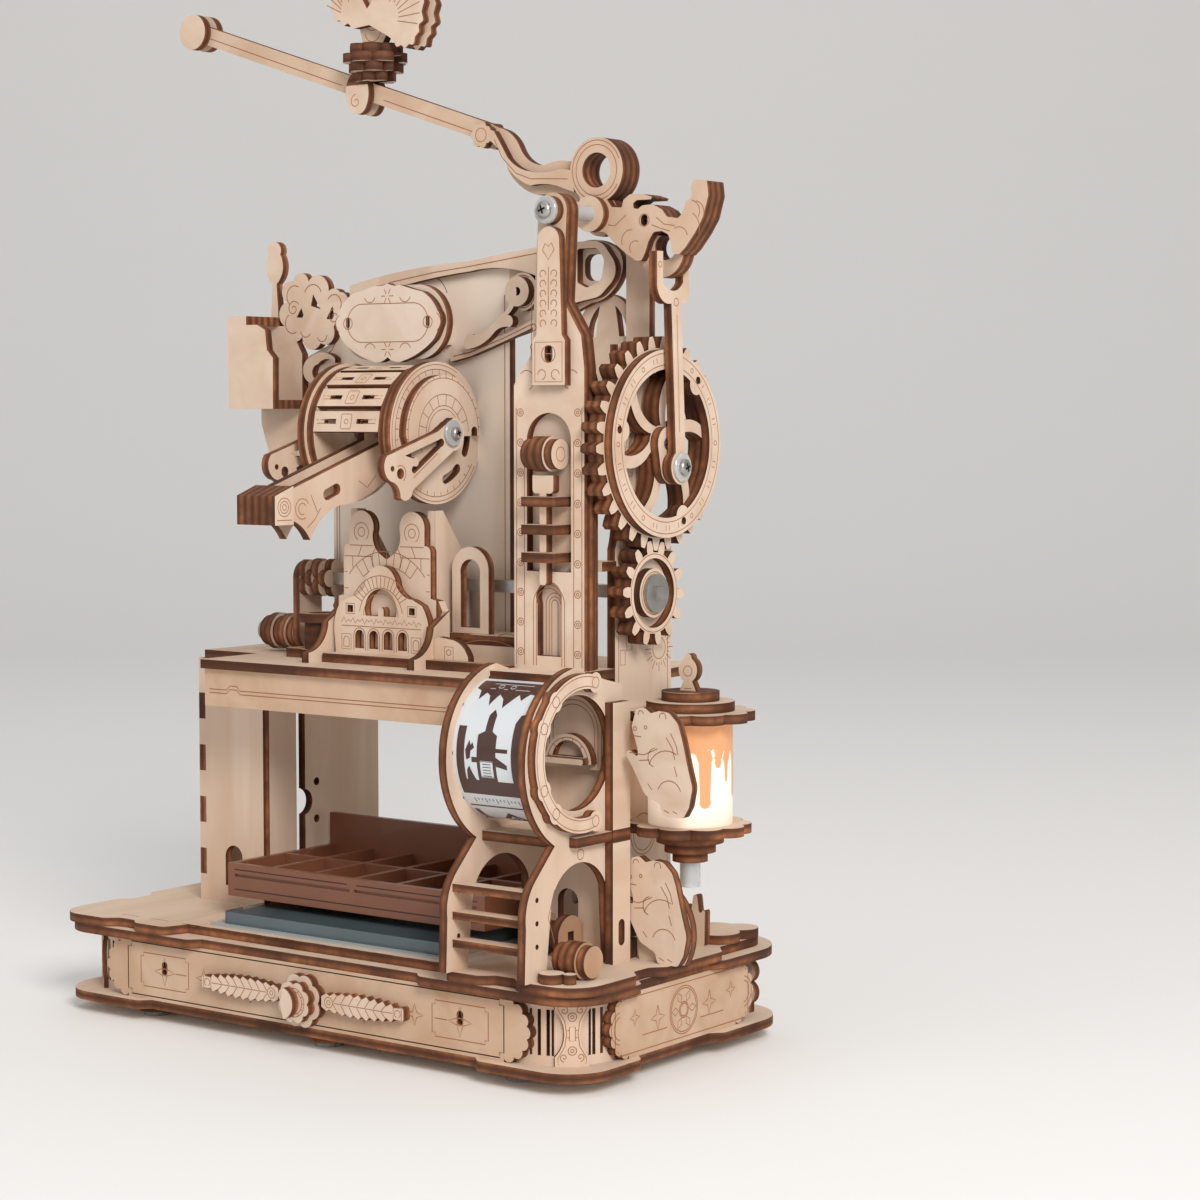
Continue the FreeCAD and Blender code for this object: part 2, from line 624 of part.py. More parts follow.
def make_stand():
    """Figure-of-eight stand at the right front, with its film, ladder, shelves and posts."""
    left_x = STAND_X
    right_x = STAND_X + PLY + STAND_GAP
    add("stand_frames", stand_frame(left_x), stand_frame(right_x))
    a0 = math.radians(75)
    outer_r = RING_R - 1
    inner_r = RING_R - 1 - RING_BAND
    arc = path(
        (RING_Y + outer_r * math.cos(a0), RING_Z + outer_r * math.sin(a0)),
        (RING_Y - outer_r, RING_Z, RING_Y + outer_r * math.cos(a0), RING_Z - outer_r * math.sin(a0)),
        (RING_Y + inner_r * math.cos(a0), RING_Z - inner_r * math.sin(a0)),
        (RING_Y - inner_r, RING_Z, RING_Y + inner_r * math.cos(a0), RING_Z + inner_r * math.sin(a0)),
    )
    overlay = [plate("yz", right_x + PLY, arc)]
    for angle in (75, 130, 155, 205, 230, 285):
        a = math.radians(angle)
        reach = RING_R - 1 - RING_BAND / 2
        knob = rod("yz", right_x + PLY, PLY, RING_Y + reach * math.cos(a), RING_Z + reach * math.sin(a),
            3.1)
        overlay.append(knob)
    add("stand_overlays", fuse(*overlay), *make_dial())
    b0 = math.radians(105)
    r_out = FILM_R
    r_in = FILM_R - FILM_T
    film = path(
        (RING_Y + r_out * math.cos(b0), RING_Z + r_out * math.sin(b0)),
        (RING_Y - r_out, RING_Z, RING_Y + r_out * math.cos(b0), RING_Z - r_out * math.sin(b0)),
        (RING_Y + r_in * math.cos(b0), RING_Z - r_in * math.sin(b0)),
        (RING_Y - r_in, RING_Z, RING_Y + r_in * math.cos(b0), RING_Z + r_in * math.sin(b0)),
    )
    add("stand_film", plate("yz", left_x + PLY, film, (), STAND_GAP))
    rungs = []
    for z in (41, 49.5, 58):
        rung = Part.makeBox(STAND_GAP, 5.5, RUNG_T)
        rung.translate(V(left_x + PLY, RING_Y - RING_R + 2.6, z))
        rungs.append(rung)
    shelf_top = plate("xy", RING_Z + 20.5, box2(left_x + PLY, RING_Y - 4, right_x, BAY_FRONT_Y - PLY))
    shelf_low = plate("xy", RING_Z - 28.2, box2(left_x + PLY, RING_Y - 8, right_x, BAY_FRONT_Y - PLY))
    post_y = BAY_FRONT_Y - PLY - 9
    tip = plate("xy", RING_Z - 28.2, box2(right_x + PLY, RING_Y - 4, right_x + 2 * PLY, post_y, 0.8))
    slot = stadium(BAY_FRONT_Y - PLY - 4.5, FLOOR_Z + 7, BAY_FRONT_Y - PLY - 4.5, FLOOR_Z + 12, 1.6)
    post = plate("yz", right_x + PLY, box2(post_y, FLOOR_Z, BAY_FRONT_Y - PLY, RING_Z + 14), [slot])
    add("stand_shelves", shelf_top, shelf_low, tip, post, *rungs)


def make_dial():
    """Arched plaque and half-wheel dial on the column behind the stand's ring."""
    wall_y = BAY_FRONT_Y - PLY
    middle_x = STAND_X + PLY + STAND_GAP / 2
    r = 12.0
    base = path(
        (middle_x - r, RING_Z - 8), (middle_x + r, RING_Z - 8), (middle_x + r, RING_Z + 4),
        (middle_x, RING_Z + 4 + r, middle_x - r, RING_Z + 4),
    )
    plaque = plate("xz", wall_y - PLY, base)
    half = path((middle_x - 9, RING_Z - 6), (middle_x + 9, RING_Z - 6),
        (middle_x, RING_Z + 3, middle_x - 9, RING_Z - 6))
    window = path((middle_x - 6, RING_Z - 4), (middle_x + 6, RING_Z - 4),
        (middle_x, RING_Z + 1, middle_x - 6, RING_Z - 4))
    dial = plate("xz", wall_y - 2 * PLY, half, [window])
    bar = plate("xz", wall_y - 3 * PLY, box2(middle_x - 8, RING_Z - 6, middle_x + 8, RING_Z - 4.2, 0.6))
    return [plaque, fuse(dial, bar)]


def make_stand_rollers():
    """Spool and barrel that lie on the deck inside the stand."""
    spool = []
    spool_y = BAY_FRONT_Y - PLY - 6.5
    spool_z = FLOOR_Z + 6.5
    for i in range(4):
        wide = 6.5 if i in (0, 3) else 4.2
        spool.append(plate("yz", STAND_X + 6 + i * PLY, circle(spool_y, spool_z, wide), [box2(
            spool_y - 1.5, spool_z - 1.5, spool_y + 1.5, spool_z + 1.5)]))
    barrel = []
    barrel_x = STAND_X + 2 * PLY + STAND_GAP + GAP
    barrel_y = RING_Y - 8
    for i in range(4):
        wide = 4.8 if i in (0, 3) else 5.6
        barrel.append(rod("yz", barrel_x + i * PLY, PLY, barrel_y, FLOOR_Z + 5.6, wide))
    add("stand_rollers", fuse(*spool), fuse(*barrel))


def make_stage():
    """Plate over the bay, its front fascia and the low scenery that stands on it."""
    wall_y = BAY_FRONT_Y - PLY
    right = [
        (0, STAGE_FRONT_Y), (STAND_X, STAGE_FRONT_Y), (STAND_X, wall_y), (OUTER_WALL_X, wall_y),
        (OUTER_WALL_X, OUTER_REAR_Y + 2), (OUTER_WALL_X - 4, STAGE_REAR_Y, 6.0), (0, STAGE_REAR_Y),
    ]
    left = [(-x, y, *rest) for x, y, *rest in reversed(right[1:-1])]
    add("mid_deck", plate("xy", MID_Z, rounded(right + left)))
    fascia = plate("xz", FASCIA_Y, box2(-STAND_X, MID_Z - FASCIA_H, STAND_X, MID_Z))
    add("fascia", fascia)
    z0 = STAGE_Z
    front_y = FACADE_Y
    wall = path(
        (-19.4, z0), (19.4, z0), (20.1, z0 + 8.3), (19.6, z0 + 15.4, 17.4, z0 + 19.6), (13.4, z0 + 21.4),
        (10.2, z0 + 22.2, 6.6, z0 + 25.8), (0, z0 + 32, -6.6, z0 + 25.8),
        (-10.2, z0 + 22.2, -13.4, z0 + 21.4), (-17.4, z0 + 19.6), (-19.6, z0 + 15.4, -20.1, z0 + 8.3),
    )
    windows = []
    for x in (-9.2, -3.1, 3.1, 9.2):
        windows.append(path((x - 1.9, z0 + 4.7), (x + 1.9, z0 + 4.7), (x + 1.9, z0 + 8.8),
            (x, z0 + 10.7, x - 1.9, z0 + 8.8)))
    for x in (-13.2, 13.2):
        windows.append(box2(x - 1.2, z0 + 16.4, x + 1.2, z0 + 18.7))
    wheel = path((-6.5, z0 + 15.5), (-1.2, z0 + 15.5), (-1.2, z0 + 17.2), (0, z0 + 18.4, 1.2, z0 + 17.2),
        (1.2, z0 + 15.5),
                 (6.5, z0 + 15.5), (0, z0 + 24.4, -6.5, z0 + 15.5))
    windows.append(wheel)
    front = plate("xz", front_y, wall, windows)
    half = path(
        (0, z0), (21, z0), (21, z0 + 12.6), (23.5, z0 + 17.9), (21.9, z0 + 21.1), (18.6, z0 + 21.8),
        (18.6, z0 + 36.8), (17.6, z0 + 38.4, 16.1, z0 + 38.6), (16.1, z0 + 43.6),
        (10.5, z0 + 49.6, 5.6, z0 + 43.4), (5.4, z0 + 38.6, 2.6, z0 + 35.4), (0, z0 + 33.8),
    )
    half_back = plate("xz", front_y + PLY, half)
    back = fuse(half_back, mirror_x(half_back))
    buttress = path(
        (front_y + 2 * PLY, z0), (front_y - 11.7, z0), (front_y - 11.7, z0 + 3.4),
        (front_y - 7.4, z0 + 4.6, front_y - 2, z0 + 13), (front_y + 2 * PLY, z0 + 18),
    )
    buttresses = pair(plate("yz", 21, buttress).cut(back))
    wing = plate("xz", front_y - 2, path(
        (24, z0), (38.1, z0), (38.1, z0 + 3.9), (34.6, z0 + 8.4, 32, z0 + 9.4), (25.8, z0 + 10.2),
        (24, z0 + 9)))
    cheek_y = front_y + 2 * PLY
    cheek_rear = SHAFT_SIDE + 1.5
    cheek = path(
        (cheek_y, z0), (cheek_rear, z0), (cheek_rear, SHAFT_Z + 6), (cheek_y + 4, z0 + 50),
        (cheek_y, z0 + 50),
    )
    cheeks = pair(plate("yz", CHEEK_X, cheek, [circle(0, SHAFT_Z, SHAFT_SIDE * math.sqrt(0.5) + FIT)]))
    add("facade", front, back, *cheeks, *buttresses,
        plate("xy", z0, box2(-20, front_y - 6, 20, front_y)), wing)
    ledge_y = DRUM_Y + PLY
    rail = path((24, z0), (52, z0), (52, z0 + 10.5), (30, z0 + 10.5), (26, z0 + 8, 24, z0 + 3))
    ledge = plate("xz", ledge_y, rail)
    slab = rounded([(19, ledge_y + PLY), (52, ledge_y + PLY), (52, BACK_Y - PLY), (19, BACK_Y - PLY)], 1.5)
    niche_z = z0 + 10.5
    arch = path((21, niche_z), (36, niche_z), (36, niche_z + 20), (28.5, niche_z + 28, 21, niche_z + 20))
    door = path((24.5, niche_z + 2), (32.5, niche_z + 2), (32.5, niche_z + 19),
        (28.5, niche_z + 24, 24.5, niche_z + 19))
    add("arch_ledge", ledge, plate("xy", z0 + 7.5, slab), plate("xz", ledge_y + PLY, arch, [door]))
    pot = []
    for i, r in enumerate((6.4, 5.1, 5.1, 5.1, 6.9)):
        pot.append(rod("xy", z0 + i * PLY, PLY, POT_X, POT_Y, r))
    sill = plate("xy", z0, box2(POT_X - 12, POT_Y - 4.5, POT_X, POT_Y + 4.5, 1.5))
    pot = fuse(sill, *pot).cut(rod("xy", z0 + PLY, 5 * PLY, POT_X, POT_Y, 3.6))
    step = plate("xy", z0, box2(24, front_y - 6, STAND_X - GAP, front_y - 2 - GAP))
    add("stage_props", pot, step)


def make_back():
    """Tall back board with the arched beam, the cloud, and the boxed finial at its left."""
    z0 = STAGE_Z
    sweep = z0 + 54
    board = path(
        (-43.5, z0), (33, z0), (33, 250.2), (0, 248, -37, 240.4), (-45, 225), (-60, 219), (-60, sweep + 9),
        (-55, sweep + 1.5, -43.5, sweep),
    )
    add("back_board", plate("xz", BACK_Y, board))
    overlay = BACK_Y - PLY
    top_band = path(
        (-33, 238.4), (-6, 244.6, 19, 247.8), (33, 248.4, 46.7, 245.4), (60.4, 245.4), (60.4, 255.4),
        (46.8, 254.6), (34.6, 253.4), (19, 251.1), (-6, 249.2, -33, 244.6),
    )
    low_band = path(
        (10.6, 218.6), (18.9, 220.3), (32, 224.6, 46.7, 229.9), (60.4, 233.6), (60.4, 238.2),
        (46.7, 232.4), (32, 227, 18.9, 222.8), (10.6, 221.4),
    )
    boss = rod("xz", overlay, PLY, BOSS_X, BOSS_Z, 6.1)
    loop = plate("xz", overlay, rounded([
        (58, 236), (71.3, 238.4, 6), (79.6, 246, 7), (72, 255.8, 6), (58, 255.8)], 1.5))
    loop_hole = plate("xz", overlay, rounded([
        (62.6, 243), (66.4, 241.2, 2), (72, 243.4, 3), (73.2, 250, 3), (70.3, 253.6, 2), (62.6, 253.6)],
        1.0))
    beam = fuse(plate("xz", overlay, top_band), plate("xz", overlay, low_band), boss, loop)
    beam = beam.cut([loop_hole, rod("xz", overlay, PLY, BOSS_X, BOSS_Z, 1.4)])
    curve = path(
        (36.4, 242.5), (37.2, 236, 33.6, 233.4), (28.8, 229, 22.8, 227.2), (19.2, 226, 19.8, 222.6),
        (26, 224, 31.6, 228), (34.6, 229.4, 37.6, 229.4), (39, 231.6, 36.8, 233.2),
        (39.4, 236, 40.2, 242.5),
    )
    scroll = fuse(
        plate("xz", overlay - PLY, curve), ring("xz", overlay - PLY, PLY, BOSS_X, BOSS_Z, 4.8, 1.4),
    )
    rear = path(
        (33, 250.2), (44, 252.4), (59, 254.4), (67, 256.4, 73, 254.8), (77.6, 251, 78, 246.4),
        (74, 240, 66, 236.6), (52, 231), (33, 226),
    )
    rear_ply = plate("xz", BACK_Y, rear, [box2(63.4, 243.5, 72.6, 252, 3.0)])
    strip = plate("xz", BACK_Y, box2(79.5, 196, 88.4, 252))
    plaque = path((58.5, 206), (81, 206), (81, 226), (78.6, 234.6, 70, 239.5), (61.2, 234.6, 58.5, 226))
    panes = [
        path((62.4, 226), (65.4, 226), (66.2, 231.4, 67, 235.8), (63.6, 231.6, 62.4, 226)),
        path((74.6, 226), (77.6, 226), (76.4, 231.6, 73, 235.8), (73.8, 231.4, 74.6, 226)),
    ]
    add("beam", beam, scroll, rear_ply, strip, plate("xz", BACK_Y + PLY, plaque, panes))
    cloud = path(
        (-37, 235), (-33.6, 239.4, -37.5, 242.6), (-40, 243.8, -42.5, 242.9), (-45.4, 248, -51.6, 246.4),
        (-55.6, 249.4, -58.7, 246.4), (-63.6, 244.4, -61.4, 239.6), (-65.2, 236, -62, 231.4),
        (-60, 226.6, -54.6, 228), (-51, 223.4, -46.3, 225.6), (-41, 226.4, -40.4, 231),
    )
    slots = [
        path((-57.2, 234.4), (-55, 237.6), (-53.6, 234.2)),
        path((-50.6, 238.2), (-49.6, 242.2), (-46.2, 237)),
        path((-43.6, 233.6), (-40.8, 238), (-39.8, 233.4)),
    ]
    spire = path(
        (-69.2, 228), (-65.4, 228), (-65.8, 238), (-66.4, 246), (-63.4, 251.4, -64.6, 256),
        (-67.3, 260.4, -70, 256), (-71.2, 251.4, -68.2, 246), (-68.8, 238),
    )
    foot = path(
        (-74, sweep + 24), (-68, sweep + 6), (-61, sweep + 3), (-54.8, sweep + 5), (-54.8, 222),
        (-60.6, 231.6), (-74, 231.6),
    )
    curl = path(
        (-50.4, 212), (-54.4, 217, -50.7, 220.8), (-45.2, 222.4, -39.8, 220.4), (-39.8, 218.8),
        (-44.8, 220, -47.6, 218.4), (-50.2, 215.6, -47.2, 213),
    )
    box_y = LAMP_Y - 15
    box = path(
        (-74, 206.3), (-53.5, 206.3), (-53.4, 220.4), (-56.1, 223.1), (-56.9, 229.8), (-60.6, 231.6),
        (-74, 231.6),
    )
    shelf = plate("xy", 206.3 - PLY, box2(-74, box_y, -53.5, overlay))
    cover = plate("xy", 231.6, box2(-74, box_y, -65.6, overlay + PLY))
    spire_ply = plate("xz", overlay, spire).cut(cover)
    back_ply = fuse(plate("xz", overlay, foot), plate("xz", overlay, curl))
    add("left_finial", plate("xz", overlay, cloud, slots).cut(back_ply), back_ply, spire_ply.cut(back_ply),
        plate("xz", box_y, box), shelf, cover)


def kidney(radius, half_w, start, end):
    """Curved slot round the drum's axle between two angles, in degrees."""
    def at(r, angle):
        a = math.radians(angle)
        return (DRUM_Y + r * math.cos(a), DRUM_Z + r * math.sin(a))
    middle = (start + end) / 2
    return path(
        at(radius + half_w, start), at(radius + half_w, middle) + at(radius + half_w, end),
        at(radius, end + math.degrees(half_w / radius)) + at(radius - half_w, end),
        at(radius - half_w, middle) + at(radius - half_w, start),
        at(radius, start - math.degrees(half_w / radius)) + at(radius + half_w, start),
    )


def make_drum():
    """Type drum fixed to the back board: doubled discs with a raised fan, joined by slats."""
    seat = Part.makeBox(200, 60, 120)
    seat.translate(V(-100, BACK_Y, DRUM_Z - 60))
    bore = circle(DRUM_Y, DRUM_Z, AXLE_R + FIT)
    slots = [kidney(15.5, 1.5, start, start + 26) for start in (-24, 286)]
    inner = plate("yz", DRUM_HALF_X - 2 * PLY, circle(DRUM_Y, DRUM_Z, DRUM_R - 1.2), [bore]).cut(seat)
    outer = plate("yz", DRUM_HALF_X - PLY, circle(DRUM_Y, DRUM_Z, DRUM_R), [bore, *slots]).cut(seat)
    outline = path(
        (DRUM_Y + FAN_R, DRUM_Z - 1), (DRUM_Y, DRUM_Z + FAN_R, DRUM_Y - FAN_R, DRUM_Z - 1),
        (DRUM_Y - 14.2, DRUM_Z - 11.8), (DRUM_Y - 7.5, DRUM_Z - 6.4, DRUM_Y - 4.2, DRUM_Z - 4.4),
        (DRUM_Y, DRUM_Z - 6.2, DRUM_Y + 4.2, DRUM_Z - 4.4), (DRUM_Y + 8, DRUM_Z - 1),
    )
    fan = plate("yz", DRUM_HALF_X, outline, [bore, slots[0]]).cut(seat)
    add("drum_discs", *pair(inner), *pair(fuse(outer, fan)))
    slats = []
    half = DRUM_HALF_X - 2 * PLY
    slat_w = 6.6
    slat_t = 2.0
    for angle in (60, 82, 104, 126, 148, 170):
        slat = Part.makeBox(2 * half, slat_w, slat_t)
        slat.translate(V(-half, -slat_w / 2, DRUM_R - 1.2 - slat_t))
        for x in (-half * 0.5, half * 0.5):
            cut = Part.makeBox(5, 1.6, slat_t * 2)
            cut.translate(V(x - 2.5, -0.8, DRUM_R - 1.2 - 1.5 * slat_t))
            slat = slat.cut(cut)
        slat.rotate(V(0, 0, 0), V(1, 0, 0), angle - 90)
        slat.translate(V(0, DRUM_Y, DRUM_Z))
        slats.append(slat)
    add("drum_slats", *slats)


def make_feed_arm():
    """Swinging feed arm: curved rails inside the drum, V-shaped links outside it, on one steel axle."""
    rail = path(
        (DRUM_Y + 3.6, DRUM_Z + 3), (DRUM_Y - 3, DRUM_Z + 4.5, -19.8, 193.2), (-40.6, 186.5),
        (-66.1, 178.2), (-66.1, 169), (-60, 166, -57, 162.4), (-50, 170, -43, 173),
        (-30, 175.5, DRUM_Y - 2, DRUM_Z - 8), (DRUM_Y + 4, DRUM_Z - 4),
    )
    bore = circle(DRUM_Y, DRUM_Z, AXLE_R)
    slot = stadium(-49, 176.4, -44.6, 178, 1.8)
    rails = [plate("yz", x, rail, [bore, slot]) for x in (2.0, -8.0)]
    block = path((-66.1, 179.5), (-74.5, 176.5), (-74.5, 167.5), (-66.1, 167.5))
    end_block = plate("yz", -9.5, block, (), 16)
    tray = path((-64, 170.5), (-64, 168.5), (-52, 171.5), (-52, 173.5))
    tray = plate("yz", -5.0, tray, (), 7.0)
    axle_half = LINK_X + 2 * PLY
    axle = rod("yz", -axle_half, 2 * axle_half, DRUM_Y, DRUM_Z, AXLE_R)
    outline = path(
        (DRUM_Y + 1, DRUM_Z + 4.9), (DRUM_Y + 6.2, DRUM_Z, DRUM_Y + 1, DRUM_Z - 5.6), (-32.2, 177.8),
        (-36.4, 174.6, -38.2, 175.4), (-39.2, 178.6, -42.4, 180.6), (-45.6, 183.6, -44.6, 188.6),
        (-20, 196),
    )
    eye = path((-36, 188.6), (-19, 193.6), (-17, 193, -18.2, 191.2), (-30.6, 183.4),
        (-32.6, 183.6, -31.6, 185.4),
               (-29.4, 186.8, -31.8, 187.6))
    bore = circle(DRUM_Y, DRUM_Z, AXLE_R)
    links = plate("yz", LINK_X, outline, [bore, eye, circle(-38.2, 183, 1.7), circle(-42, 184.6, 0.9)])
    washer = ring("yz", DRUM_HALF_X + PLY + FIT, LINK_X - DRUM_HALF_X - PLY - FIT, DRUM_Y, DRUM_Z, 3.8,
        AXLE_R)
    add("feed_arm", *rails, end_block, tray, *pair(fuse(links, washer)))
    cap = ring("yz", LINK_X + PLY, 1.2, DRUM_Y, DRUM_Z, 4.2, AXLE_R)
    add("drum_axle", axle, *pair(cap))


def make_sign():
    """Oval sign over the drum on two brackets; its face is left bare."""
    front_y = DRUM_Y - 1
    z = SIGN_Z
    tip = SIGN_W / 2
    top = z + SIGN_H / 2
    low = z - SIGN_H / 2
    half = path(
        (0, low + 1.4), (3.4, low - 0.2, 6.8, low + 0.2), (12.8, low + 2.4, 19.4, low + 6.8),
        (20.6, z - 4, tip - 0.6, z - 1.8), (tip, z + 1.4, tip - 1.2, z + 3.4),
        (19, z + 6.4, 14.6, z + 9.6), (8.6, top - 1.6, 5.2, top - 0.6), (2.4, top - 0.8, 0, top),
    )
    front = plate("xz", front_y, half)
    ports = []
    for side in (-1, 1):
        ports.append(plate("xz", front_y, stadium(side * PORT_X, z - 0.9, side * PORT_X, z + 0.9, 0.8)))
    back = stadium(-tip + top - z - 1, z, tip - top + z + 1, z, SIGN_H / 2 - 0.6)
    arm = box2(front_y + 2 * PLY, z - 7, BACK_Y, z - 1)
    arms = pair(plate("yz", 6, arm))
    add("sign", fuse(front, mirror_x(front)).cut(ports), plate("xz", front_y + PLY, back), *arms)


def make_tower():
    """Tall layered tower under the lever's pivot."""
    z0 = RING_Z + 23.5
    top = TOWER_SHOULDER_Z
    w = TOWER_HALF_W
    x = TOWER_X
    neck = 5.5
    front_y = TOWER_FRONT_Y
    eye = 5.4
    frame = path(
        (x - w, z0), (x + w, z0), (x + w, top + 9.6), (x + w - 1.2, top + 19.4), (x + neck, top + 30),
        (PIVOT_X + eye, PIVOT_Z), (PIVOT_X, PIVOT_Z + eye, PIVOT_X - eye, PIVOT_Z), (x - neck, top + 30),
        (x - 6.7, top + 13.6), (x - w + 2.4, top + 8.3, x - w, top + 4.4),
    )
    recess = path(
        (x - 8.5, z0 + 30), (x + 8.5, z0 + 30), (x + 8.5, top - 12), (x, top - 4, x - 8.5, top - 12),
    )
    door = path((x - 4.5, z0 + 4), (x + 4.5, z0 + 4), (x + 4.5, z0 + 20), (x, z0 + 27, x - 4.5, z0 + 20))
    hole = circle(PIVOT_X, PIVOT_Z, PIVOT_R)
    face = plate("xz", front_y + PLY, frame, [recess, door, hole])
    panel = plate("xz", front_y + 2 * PLY, frame, [hole])
    slim = path(
        (x - w + 1.5, z0), (x + w - 1.5, z0), (x + w - 1.5, top + 6), (x + w - 5, top + 18),
        (x, top + 24), (x - 4, top + 8), (x - w + 1.5, top),
    )
    rear = plate("xz", front_y + 3 * PLY, slim)
    mid = PIVOT_X + 0.7
    low = top + 4.4
    spire = path(
        (mid - 6.2, low), (mid + 6.2, low), (mid + 6.2, low + 13.6), (mid + 5, low + 15.2),
        (mid + 4.1, top + 48), (mid, top + 52.2, mid - 4.1, top + 48), (mid - 4.6, low + 15.2),
        (mid - 6.2, low + 13.6),
    )
    window = stadium(mid, low + 8.4, mid, low + 10.6, 1.5)
    add("tower_front", face, plate("xz", front_y, spire, [window]))
    ties = []
    for z, wall_y in ((z0 + 30, BAY_FRONT_Y), (top - 2, BAY_FRONT_Y + NECK_SETBACK)):
        ties.append(plate("xy", z, box2(x - 8, front_y + 4 * PLY, x + w, wall_y)))
    add("tower_panel", panel, rear, *ties)
    roller_z = z0 + 66
    roller_y = front_y + 1
    roller = [rod("yz", x - 6 + i * PLY, PLY, roller_y, roller_z,
        4.6 if i in (0, 3) else 5.4) for i in range(4)]
    panel_y = front_y + 2 * PLY
    roller = fuse(*roller).cut(Part.makeBox(40, 40, 40, V(x - 20, panel_y, roller_z - 20)))
    stem = 1.3
    fork = plate("xz", front_y, rounded([
        (x - 4, roller_z - 6.5), (x - 4, roller_z - 12, 2), (x - stem, roller_z - 12),
        (x - stem, roller_z - 40, 1), (x + stem, roller_z - 40, 1), (x + stem, roller_z - 12),
        (x + 4, roller_z - 12, 2), (x + 4, roller_z - 6.5)]))
    clips = []
    for z in (roller_z - 16, roller_z - 24.5, roller_z - 33):
        stem_hole = box2(x - stem, front_y, x + stem, front_y + PLY)
        clips.append(plate("xy", z, box2(x - 6.5, front_y - PLY, x + 6.5, panel_y, 0.8), [stem_hole]))
    add("brayer", roller, fork, *clips)


def make_pivot():
    """Steel pivot of the lever with its screw, washers, discs and spacer tube."""
    front_y = TOWER_FRONT_Y + PLY
    rear_y = front_y + 2 * PLY
    half_lever = 1.5 * PLY
    pin = rod("xz", front_y - PLY - 1, half_lever + PLY + 1 - (front_y - PLY - 1), PIVOT_X, PIVOT_Z,
        PIVOT_R)
    head = rod("xz", front_y - PLY - 1 - SCREW_HEAD_H, SCREW_HEAD_H, PIVOT_X, PIVOT_Z, SCREW_HEAD_R)
    washers = [ring("xz", front_y - PLY - 1, 1.0, PIVOT_X, PIVOT_Z, 4.2, PIVOT_R)]
    washers.append(ring("xz", half_lever + FIT, 1.2, PIVOT_X, PIVOT_Z, 4.2, PIVOT_R))
    discs = [ring("xz", front_y - PLY, PLY, PIVOT_X, PIVOT_Z, 4.3, PIVOT_R)]
    discs.append(ring("xz", -half_lever - PLY - FIT, PLY, PIVOT_X, PIVOT_Z, 5.5, PIVOT_R))
    add("pivot_discs", *discs)
    tube = -half_lever - PLY - FIT - rear_y
    add("pivot_screw", fuse(pin, head), ring("xz", rear_y, tube, PIVOT_X, PIVOT_Z, 2.4, PIVOT_R), *washers)


def bar_z(x):
    """Height of the lever bar's centre line."""
    return PIVOT_Z + 28.4 + (PIVOT_X - 45.9 - x) * math.tan(math.radians(LEVER_SLOPE))


def at_pivot(outline):
    """An outline drawn round the lever's pivot, moved to its place."""
    copy = outline.copy()
    copy.translate(V(PIVOT_X, PIVOT_Z, 0))
    return copy


def lever_neck(core):
    """Outline of the lever's S-curve, from the pivot; the middle ply is wider than the outer ones."""
    joint_z = bar_z(PIVOT_X - 44.5) - PIVOT_Z
    if core:
        return path(
            (-44.5, joint_z + 3.1), (-40, 29.2), (-34.7, 26.6, -31.6, 22.5), (-27.5, 18, -21.7, 16.5),
            (-15.5, 17.6, -9.5, 16.3), (-6.5, 13.8), (-6.5, 2.8), (-11.3, 5.9), (-18.5, 7.2, -24.7, 7.3),
            (-32.1, 10.9, -36.7, 16.1), (-38.5, 20.4, -40.9, 23), (-44.5, joint_z - 3.1),
        )
    return path(
        (-44.5, 29.2), (-39.9, 28), (-36.9, 23.4, -34.3, 19.3), (-30.2, 16.1, -25.3, 14.5),
        (-19.4, 13.9, -13.5, 14.7), (-9.3, 14.1), (-8, 7.3), (-11.5, 8.4), (-17.5, 10.1, -25.3, 10.1),
        (-30.2, 12.5, -34.3, 16.2), (-37.2, 21.2, -41.1, 24.8), (-44.5, 25.4),
    )


def lever_head():
    """Outline of the scrolled head, from the pivot: chin, open arch, rising trunk, crown and hooked ear."""
    return rounded([
        (-6.5, 7.8), (-3, -5.2, 3), (1.1, -5.6, 1), (4, -5.6, 2), (7.8, -9.3, 2), (11.6, -12.1, 2),
        (15.8, -14.8, 1.6), (17.8, -14.7, 0.8), (19.1, -12.4, 0.8), (20.4, -9, 1.5), (22.3, -6.2, 1.5),
        (25.4, -6, 1.5), (27.8, -7.2, 1.2), (28.7, -9.7, 1), (29.4, -13, 0.6), (31.7, -13.3, 0.8),
        (34, -11.4, 2), (37.6, -7, 4), (40.5, -2.6, 4), (42.4, 4, 2), (41.9, 8.4, 0.6), (37.1, 9, 0.6),
        (36, 6.8, 0.6), (36.3, 3.8, 0.6), (34.1, 2.2, 0.8), (32.9, -1.2, 0.8), (31.2, -2.4, 0.8),
        (27.3, -1.8, 1), (25.4, 0.5, 1.5), (21.9, 2.2, 2), (18.1, 2, 0.5), (16.5, 1, 0.5),
        (14.8, 1.2, 0.7), (14.6, 2.8, 0.7), (16, 3.7, 0.4), (21.2, 3.7), (21.8, 4.4, 0.3),
        (18.2, 5.5, 1.5), (13.4, 5.6, 1.5), (10.9, 4, 1), (10.4, 1.7, 0.6), (6.5, 2, 1), (3.5, 5.8),
    ])


